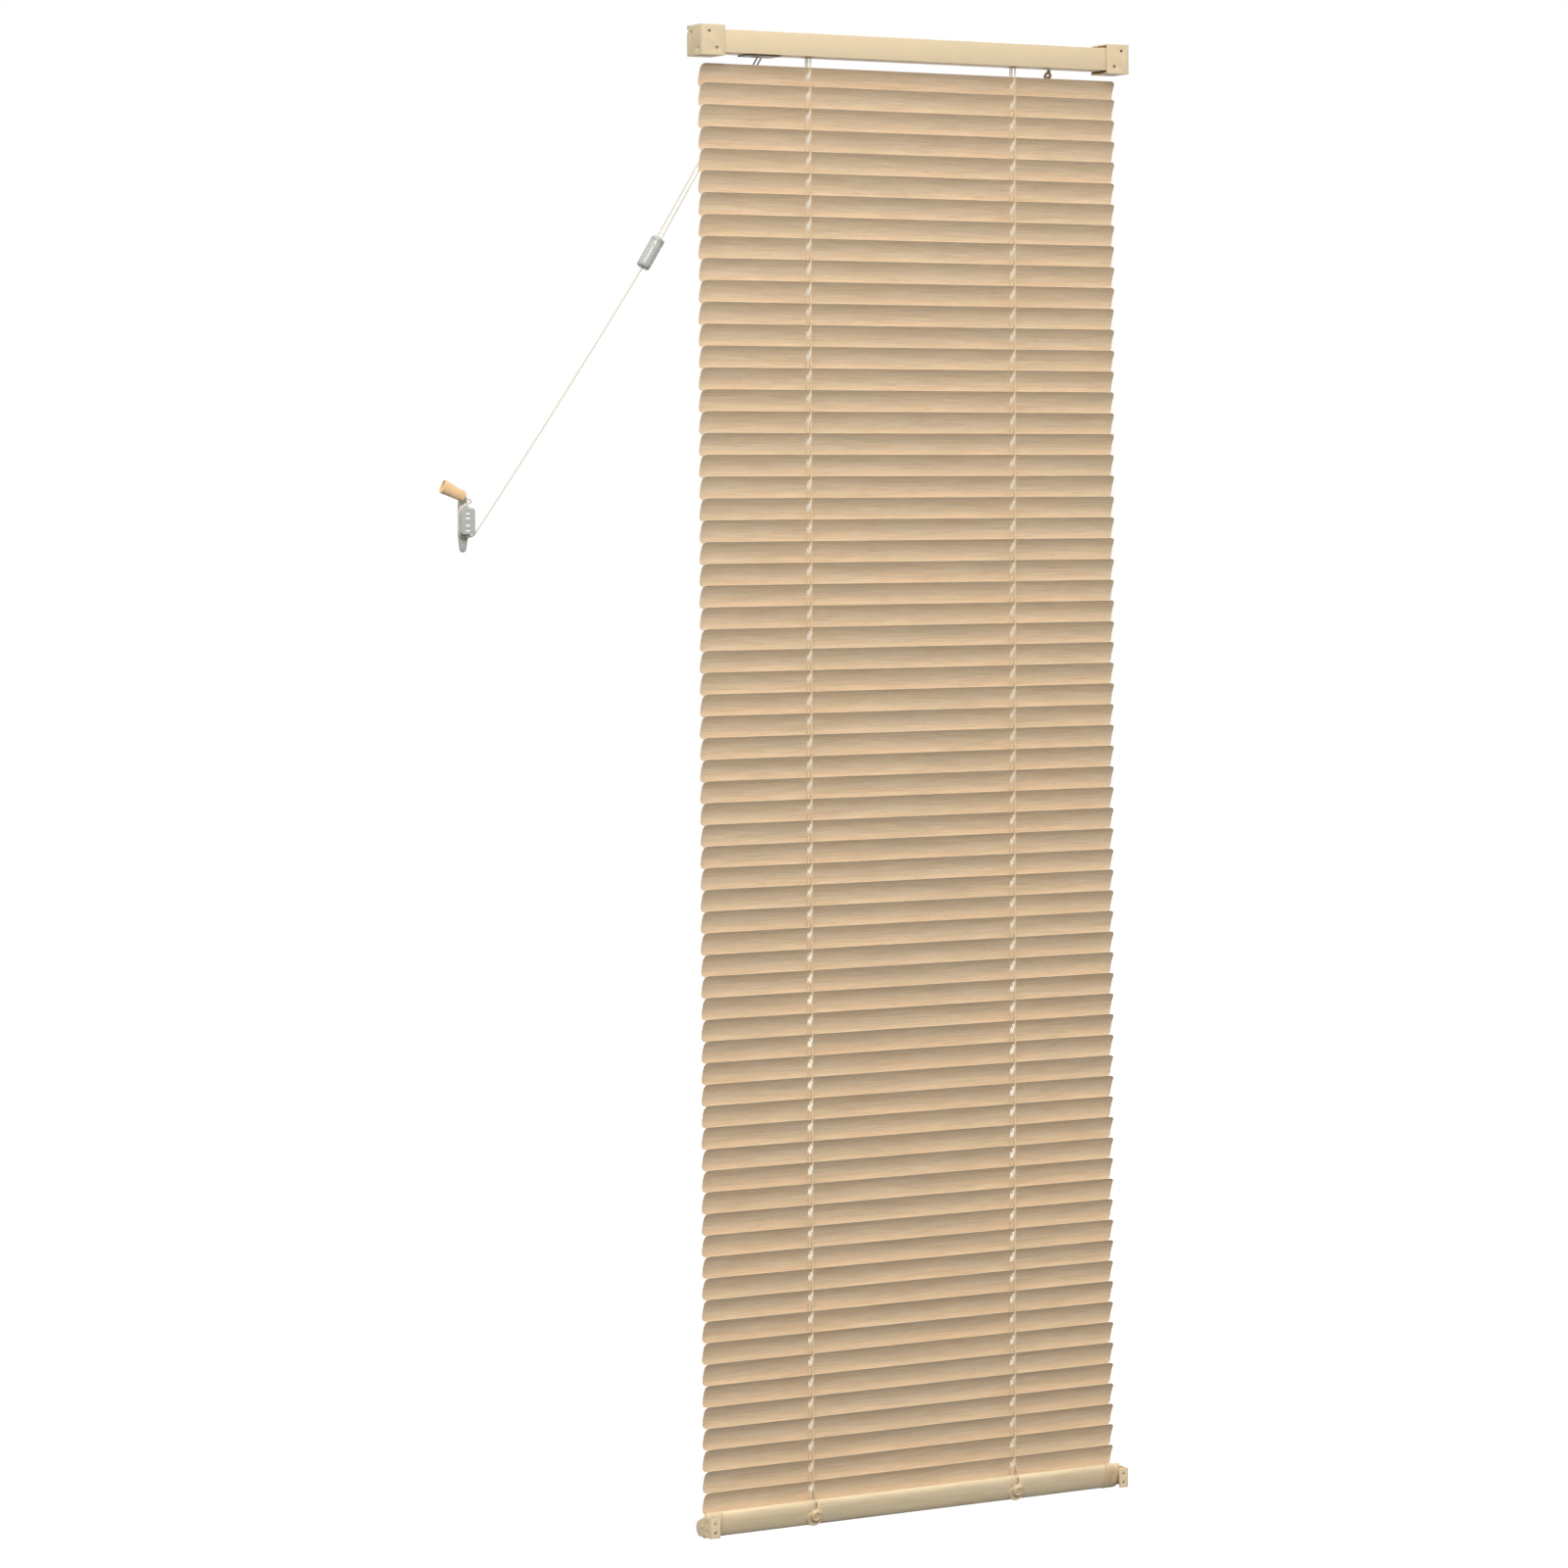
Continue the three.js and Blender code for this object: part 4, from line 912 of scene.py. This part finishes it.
def carved(piece, cutter):
    tool = piece.modifiers.new("carve", "BOOLEAN")
    tool.object = cutter
    tool.operation = "DIFFERENCE"
    mesh = bpy.data.meshes.new_from_object(piece.evaluated_get(bpy.context.evaluated_depsgraph_get()))
    piece.modifiers.clear()
    piece.data = mesh
    bpy.data.objects.remove(cutter)
    smoothMesh(mesh, 35)
    return piece


def boxPiece(name, xs, ys, zs):
    corners = [(x, y, z) for x in sorted(xs) for y in sorted(ys) for z in sorted(zs)]
    faces = [(0, 1, 3, 2), (4, 6, 7, 5), (0, 4, 5, 1), (2, 3, 7, 6), (0, 2, 6, 4), (1, 5, 7, 3)]
    return pieceFrom(name, corners, faces, "capVinyl")


def makeEndCap(word, side):
    end, x, y, z = (railPlan[key] for key in ("capEnd", "x", "y", "z"))
    stations = [(railPlan["half"] + away, growth) for away, growth in capPlan["fromRail"]]
    stations += [(end + away, growth) for away, growth in capPlan["fromEnd"]]
    rings = []
    for along, growth in stations:
        line = oval(railPlan["halfWidth"] + growth, railPlan["halfThick"] + growth, 48)
        rings.append([onRail(x + side * along, w, v) for w, v in line])
    if side < 0:
        rings.reverse()
    cap = pieceFrom(f"{word}EndCap", *skin(rings), "capVinyl")
    faceOutward(cap.data)
    half = capPlan["slotHalf"]
    ends = [x + side * (end + away) for away in capPlan["slotReach"]]
    slot = boxPiece("slot", ends, (y - half, y + half), (z - capPlan["slotDown"], z + half))
    return settle(carved(cap, slot), "bottom_rail", word + "_end_cap")


def clipLine(proud):  # the stretch of the rail's outline that the clip covers
    line = oval(railPlan["halfWidth"] + proud, railPlan["halfThick"] + proud, 96)
    return [p for p in line if p[0] < plugPlan["clipBelow"][0] and p[1] < plugPlan["clipBelow"][1]]


def makePlug(word, side):
    skinAt = -railPlan["halfThick"] - plugPlan["sunk"]
    x, across = side * ladderX + plugPlan["shift"], plugPlan["across"]
    spot = railPlace @ Matrix.Translation(Vector((x, across, 0)) * mm)
    middle = spot @ Matrix.Translation(Vector((0, -across, 0)) * mm)
    halves = []
    for name, place, facets in (("disc", spot, 48), ("knob", middle, 40)):
        halves.append(turned(name, outlineFrom(0, skinAt, plugPlan[name]), "capVinyl", place, facets))
    plug = joined(f"{word}RailPlug", halves)
    settle(plug, "bottom_rail", word + "_rail_plug")
    rings = []
    for away, proud in plugPlan["clip"]:  # the clip that holds the ladder, over the rail's upper edge
        outer, inner = clipLine(proud), clipLine(plugPlan["clipInside"])
        count = min(len(outer), len(inner))
        ring = outer[-count:] + inner[-count:][::-1]
        rings.append([onRail(x + away, w, v) for w, v in ring])
    clip = pieceFrom(f"{word}LadderClip", *skin(rings), "capVinyl", 50)
    faceOutward(clip.data)
    settle(clip, "bottom_rail")


makeRail()
for word, side in sides:
    makeEndCap(word, side)
    makePlug(word, side)
print("bottom rail closed")


# headrail, brackets and hold-downs

# how wide the edges are rounded, the finish, the body and the rounding's steps
edgePlan = {"bracket": (0.4, "creamPaint", "frame", 2), "bracket_door": (0.35, "creamPaint", "door", 3),
            "hold_down": (0.3, "creamPaint", "frame", 2), "hold_down_pin": (0.3, "creamPaint", "frame", 2),
            "drum_cradle": (0.3, "whiteNylon", "frame", 2),
            "tilt_drum": (0.25, "whiteNylon", "tilt_shaft", 2)}

soften("headrail", 0.35, "creamPaint", "frame")
for word, _ in sides:
    for part, (width, finish, body, steps) in edgePlan.items():
        soften(f"{word}_{part}", width, finish, f"{word}_door" if body == "door" else body, steps)
    dress(word + "_hinge_pin", "zincSteel")
print("headrail in its brackets")


# tilt mechanism

tilterPlan = {"x": 172, "lean": 23, "eyeY": 33, "eyeZ": -32.5, "eyeRadius": 4.5, "eyeHole": 1.9,
              "eyeThick": 2, "hang": 3.5, "stemRadius": 1.4, "collar": 2.25, "collarTop": 1.2,
              "meshAt": 24.8, "beyondMesh": 3.6}
# pairs of radius and height, from the edges of the eye, the collar and the stem's top
wormShape = {"eye": ((-0.5, 0), (-0.1, 0.4)), "inEye": (0.3, 0.4),
             "collar": ((-0.25, -0.9), (0, -0.3), (0, 0.8)), "top": ((0, -0.3), (-0.3, 0))}
threadPlan = {"turns": 4.4, "perTurn": 14, "radius": 1.45, "wire": 0.45, "pitch": 1.7, "beforeMesh": 3.6}
hookPlan = {"radius": 2.9, "wire": 0.7, "shank": 5.6, "steps": 28, "from": -0.5, "sweep": 1.93,
            "up": ((0, 0), (0, 0.6), (0.1, 0.93))}  # depth and share of the shank
sleevePlan = {"hole": 1.2, "radius": 2.1, "low": 0.4, "high": 4.4}
tipPlan = {"outline": ((0, 0), (1.6, 0.1), (2.5, 0.8), (3, 2.2), (3.1, 3.4), (2.95, 5), (3.05, 6.5),
                       (3.05, 8.6)), "top": 2.8}
stemLean = math.radians(tilterPlan["lean"])
eyeAt = Vector((tilterPlan["x"], tilterPlan["eyeY"], tilterPlan["eyeZ"]))
stemUp = Vector((0, -math.sin(stemLean), math.cos(stemLean)))
stemPlace = Matrix.Translation(eyeAt * mm) @ Matrix.Rotation(stemLean, 4, "X")
hangAt = eyeAt - stemUp * tilterPlan["hang"]


def makeWorm():
    r, hole, thick = tilterPlan["eyeRadius"], tilterPlan["eyeHole"], tilterPlan["eyeThick"] / 2
    out, up = wormShape["inEye"]
    lower = [(hole, up - thick), (hole + out, -thick), *outlineFrom(r, -thick, wormShape["eye"])]
    upper = [(wide, -height) for wide, height in reversed(lower)]
    ring = [*lower[1:], (r, 0), *upper, lower[0]]
    eye = turned("eye", ring, "tanNylon", stemPlace @ Matrix.Rotation(math.pi / 2, 4, "X"), 40)
    meshAt, stemR, collar = tilterPlan["meshAt"], tilterPlan["stemRadius"], tilterPlan["collar"]
    end = meshAt + tilterPlan["beyondMesh"]
    foot = outlineFrom(collar, r, wormShape["collar"])
    profile = [(0, foot[0][1]), *foot, (stemR, r + tilterPlan["collarTop"])]
    profile += [*outlineFrom(stemR, end, wormShape["top"]), (0, end)]
    stem = turned("stem", profile, "tanNylon", stemPlace, 24)
    perTurn, wide = threadPlan["perTurn"], threadPlan["radius"]
    helix = []
    for i in range(int(threadPlan["turns"] * perTurn)):
        angle = math.tau * i / perTurn
        along = meshAt - threadPlan["beforeMesh"] + threadPlan["pitch"] * i / perTurn
        helix.append(stemPlace @ (Vector((wide * math.cos(angle), wide * math.sin(angle), along)) * mm) / mm)
    thread = tubeMesh("thread", helix, threadPlan["wire"], "tanNylon", 6)
    return settle(joined("tiltWorm", [eye, stem, thread]), "tilt_worm", "tilt_worm")


def makeWand():
    radius, shank = hookPlan["radius"], hookPlan["shank"]
    loop = []
    for i in range(hookPlan["steps"] + 1):
        angle = math.pi * (hookPlan["from"] + hookPlan["sweep"] * i / hookPlan["steps"])
        loop.append(hangAt + Vector((0, math.cos(angle), math.sin(angle))) * radius)
    foot = hangAt - Vector((0, 0, radius + shank))
    path = [foot + Vector((0, y, shank * share)) for y, share in hookPlan["up"]] + loop[1:]
    hook = tubeMesh("wandHook", path, hookPlan["wire"], "zincSteel", 12)
    settle(hook, "wand", "wand_hook")
    hole, wide, low, high = (sleevePlan[key] for key in ("hole", "radius", "low", "high"))
    profile = ringOutline(hole, wide, low, high)
    sleeve = turned("hookSleeve", profile, "wandPlastic", Matrix.Translation(foot * mm), 32)
    settle(sleeve, "wand_swivel", "hook_sleeve")
    soften("wand", 0.35, "wandPlastic", "wand", 2)
    low, high = (v.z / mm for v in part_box("wand_tip"))
    profile = [*tipPlan["outline"], (tipPlan["top"], high - low), (0, high - low)]
    place = Matrix.Translation(Vector((hangAt.x, hangAt.y, low)) * mm)
    tip = turned("wandTip", profile, "wandPlastic", place, 32)
    settle(tip, "wand", "wand_tip")


makeWorm()
makeWand()
soften("tilt_rod", 0.3, "zincSteel", "tilt_shaft")
soften("tilt_gear", 0.2, "whiteNylon", "tilt_shaft")
soften("tilter_housing", 0.3, "whiteNylon", "frame")
print("tilter and wand hung")


# cord lock

lockPlan = {"rollerX": -163, "rollerZ": -17.3, "rollerY": (21.9, 25.4), "arcRadius": 4.1, "arc": (60, 180),
            "arcSteps": 7, "exitX": (-175, -169.5), "exitZ": -28.5, "beforeX": -149, "beforeZ": -20.6}
# the bend's pairs are x from the ladder and height, the runs' pairs are x and depth along the headrail
runPlan = {"z": -22, "y": 18.85, "bend": ((0, -24.8), (-0.3, -23.4), (-1, -22.4), (-2.4, -22)),
           "left": ((-129, 19.2), (-140, 20.95)),
           "right": ((60, 19.4), (0, 19.9), (-60, 20.4), (-112, 20.6), (-129, 21.1), (-140, 22.925))}
rollerPlan = {"hole": 1.2, "radius": 3, "waist": ((2.9, -0.4), (2.9, 0.4))}


def makeCordRuns():
    radius, (first, last), steps = lockPlan["arcRadius"], lockPlan["arc"], lockPlan["arcSteps"]
    for which, (word, side) in enumerate(sides):
        y = cordPlan["exitY"][which]
        points = [(side * ladderX + away, runPlan["y"], height) for away, height in runPlan["bend"]]
        points += [(x, depth, runPlan["z"]) for x, depth in runPlan[word]]
        points.append((lockPlan["beforeX"], y, lockPlan["beforeZ"]))
        for i in range(steps + 1):
            angle = math.radians(first + (last - first) * i / steps)
            x = lockPlan["rollerX"] + radius * math.cos(angle)
            points.append((x, y, lockPlan["rollerZ"] + radius * math.sin(angle)))
        points.append((lockPlan["exitX"][which], y, lockPlan["exitZ"]))
        run = tubeMesh(word + "CordRun", points, cordPlan["radius"])
        settle(run, "frame", word + "_cord_run")


def makeGuideRoller():
    y0, y1 = lockPlan["rollerY"]
    half = (y1 - y0) / 2
    place = turnTo((lockPlan["rollerX"], (y0 + y1) / 2, lockPlan["rollerZ"]), (0, 1, 0))
    profile = ringOutline(rollerPlan["hole"], rollerPlan["radius"], -half, half, rollerPlan["waist"])
    roller = turned("guideRoller", profile, "whiteNylon", place)
    settle(roller, "lock_guide", "lock_guide_roller")


makeCordRuns()
makeGuideRoller()
soften("cord_lock_housing", 0.25, "lockSteelPaintedShade", "frame")
soften("lock_brake_roller", 0.15, "zincSteel", "lock_brake")


recessPlan = {"x": -0.4, "halfWidth": 2.6, "reach": 10, "floor": (0.05, 1), "facing": 0.2}


def makeCleat():
    piece = soften("cleat", 0.5, "clearPlastic", "frame", 3)
    piece.data.materials.append(finishes["paintedLightPlastic"])
    for face in piece.data.polygons:  # the four recess floors take a near-white finish, painted light standing in for light coming through the thin plastic
        middle = face.center / mm
        aside = abs(middle.x - cleatPlan["x"] - recessPlan["x"])
        inside = aside < recessPlan["halfWidth"] and abs(middle.z - cleatPlan["z"]) < recessPlan["reach"]
        level = within(middle.y, recessPlan["floor"]) and abs(face.normal.y) > recessPlan["facing"]
        if inside and level:
            face.material_index = 1


makeCleat()
print("cord lock and cleat fitted")


# light, background and floor

stagePlan = {"below": (0.015, 0.015, 0.015, 1), "above": (0.98, 0.97, 0.96, 1), "drop": 0.25, "reach": 12,
             "pale": 0.72, "dark": 0.03, "glowNear": 0.12, "glowFar": 0.62, "nearBy": 0.6, "farOff": 5.0}
lamps = {
    "keyLamp": {"at": (-3.2, -5.6, 3.6), "size": 3.0, "power": 385},
    "roomLamp": {"at": (2.8, 5.8, 3.2), "size": 3.2, "power": 330},
}
lampAim = Vector((0, 0, -0.75))


def seenDirectly(net):  # 1 where the camera looks straight, or by a reflection or through plastic
    ray = net.add("ShaderNodeLightPath").outputs
    through = net.math("MAXIMUM", ray["Is Glossy Ray"], ray["Is Transmission Ray"])
    return net.math("MAXIMUM", ray["Is Camera Ray"], through)


def makeWorld():
    world = bpy.data.worlds.new("studio")
    bpy.context.scene.world = world
    world.use_nodes = True
    world.node_tree.nodes.clear()
    net = Net(world.node_tree)
    direction = net.apart(net.add("ShaderNodeTexCoord").outputs["Generated"])
    share = net.math("MULTIPLY_ADD", direction[2], 0.5, 0.5, clamp=True)
    sky = net.mix(share, stagePlan["below"], stagePlan["above"])
    lit = net.add("ShaderNodeBackground", {"Color": sky, "Strength": 1.0})
    shown = net.add("ShaderNodeBackground", {"Color": (1, 1, 1, 1), "Strength": 1.0})
    mixed = net.add("ShaderNodeMixShader", {0: seenDirectly(net), 1: lit.outputs[0], 2: shown.outputs[0]})
    net.add("ShaderNodeOutputWorld", {"Surface": mixed.outputs[0]})


def makeFloor():
    low = cadBox[0].z - stagePlan["drop"]
    floor = newObject("floor", bpy.data.meshes.new("floor"))
    size = stagePlan["reach"]
    corners = [(-size, -size, low), (size, -size, low), (size, size, low), (-size, size, low)]
    floor.data.from_pydata(corners, [], [(0, 1, 2, 3)])
    pale, dark = stagePlan["pale"], stagePlan["dark"]
    finish = newMaterial("floorFinish", Base_Color=(pale, pale, pale, 1), Roughness=0.9)
    material, net, sockets, place = finish
    sockets["Emission Color"].default_value = (1, 1, 1, 1)
    level = net.stretched(place, (1, 1, 0))
    away = net.add("ShaderNodeVectorMath", {0: level}, operation="LENGTH").outputs[1]
    ramp = {"Value": away, 1: stagePlan["nearBy"], 2: stagePlan["farOff"], 3: stagePlan["glowNear"],
            4: stagePlan["glowFar"]}
    glow = net.add("ShaderNodeMapRange", ramp, interpolation_type="SMOOTHSTEP")
    net.join(glow.outputs[0], sockets["Emission Strength"])
    plain = net.add("ShaderNodeBsdfDiffuse", {"Color": (dark, dark, dark, 1)})  # what the blind gets back
    surface = sockets["Base Color"].node.outputs[0]
    shown = surface.links[0].to_socket
    mixed = net.add("ShaderNodeMixShader", {0: seenDirectly(net), 1: plain.outputs[0], 2: surface})
    net.join(mixed.outputs[0], shown)
    floor.data.materials.append(material)


def makeLamps():
    for name, plan in lamps.items():
        data = bpy.data.lights.new(name, "AREA")
        data.shape = "DISK"
        data.size = plan["size"]
        data.energy = plan["power"]
        lamp = bpy.data.objects.new(name, data)
        lamp.location = plan["at"]
        aim = lampAim - Vector(plan["at"])
        lamp.rotation_euler = aim.to_track_quat("-Z", "Y").to_euler()
        bpy.context.scene.collection.objects.link(lamp)


makeWorld()
makeFloor()
makeLamps()
bpy.context.scene.view_settings.view_transform = "Standard"
print("light and floor set")
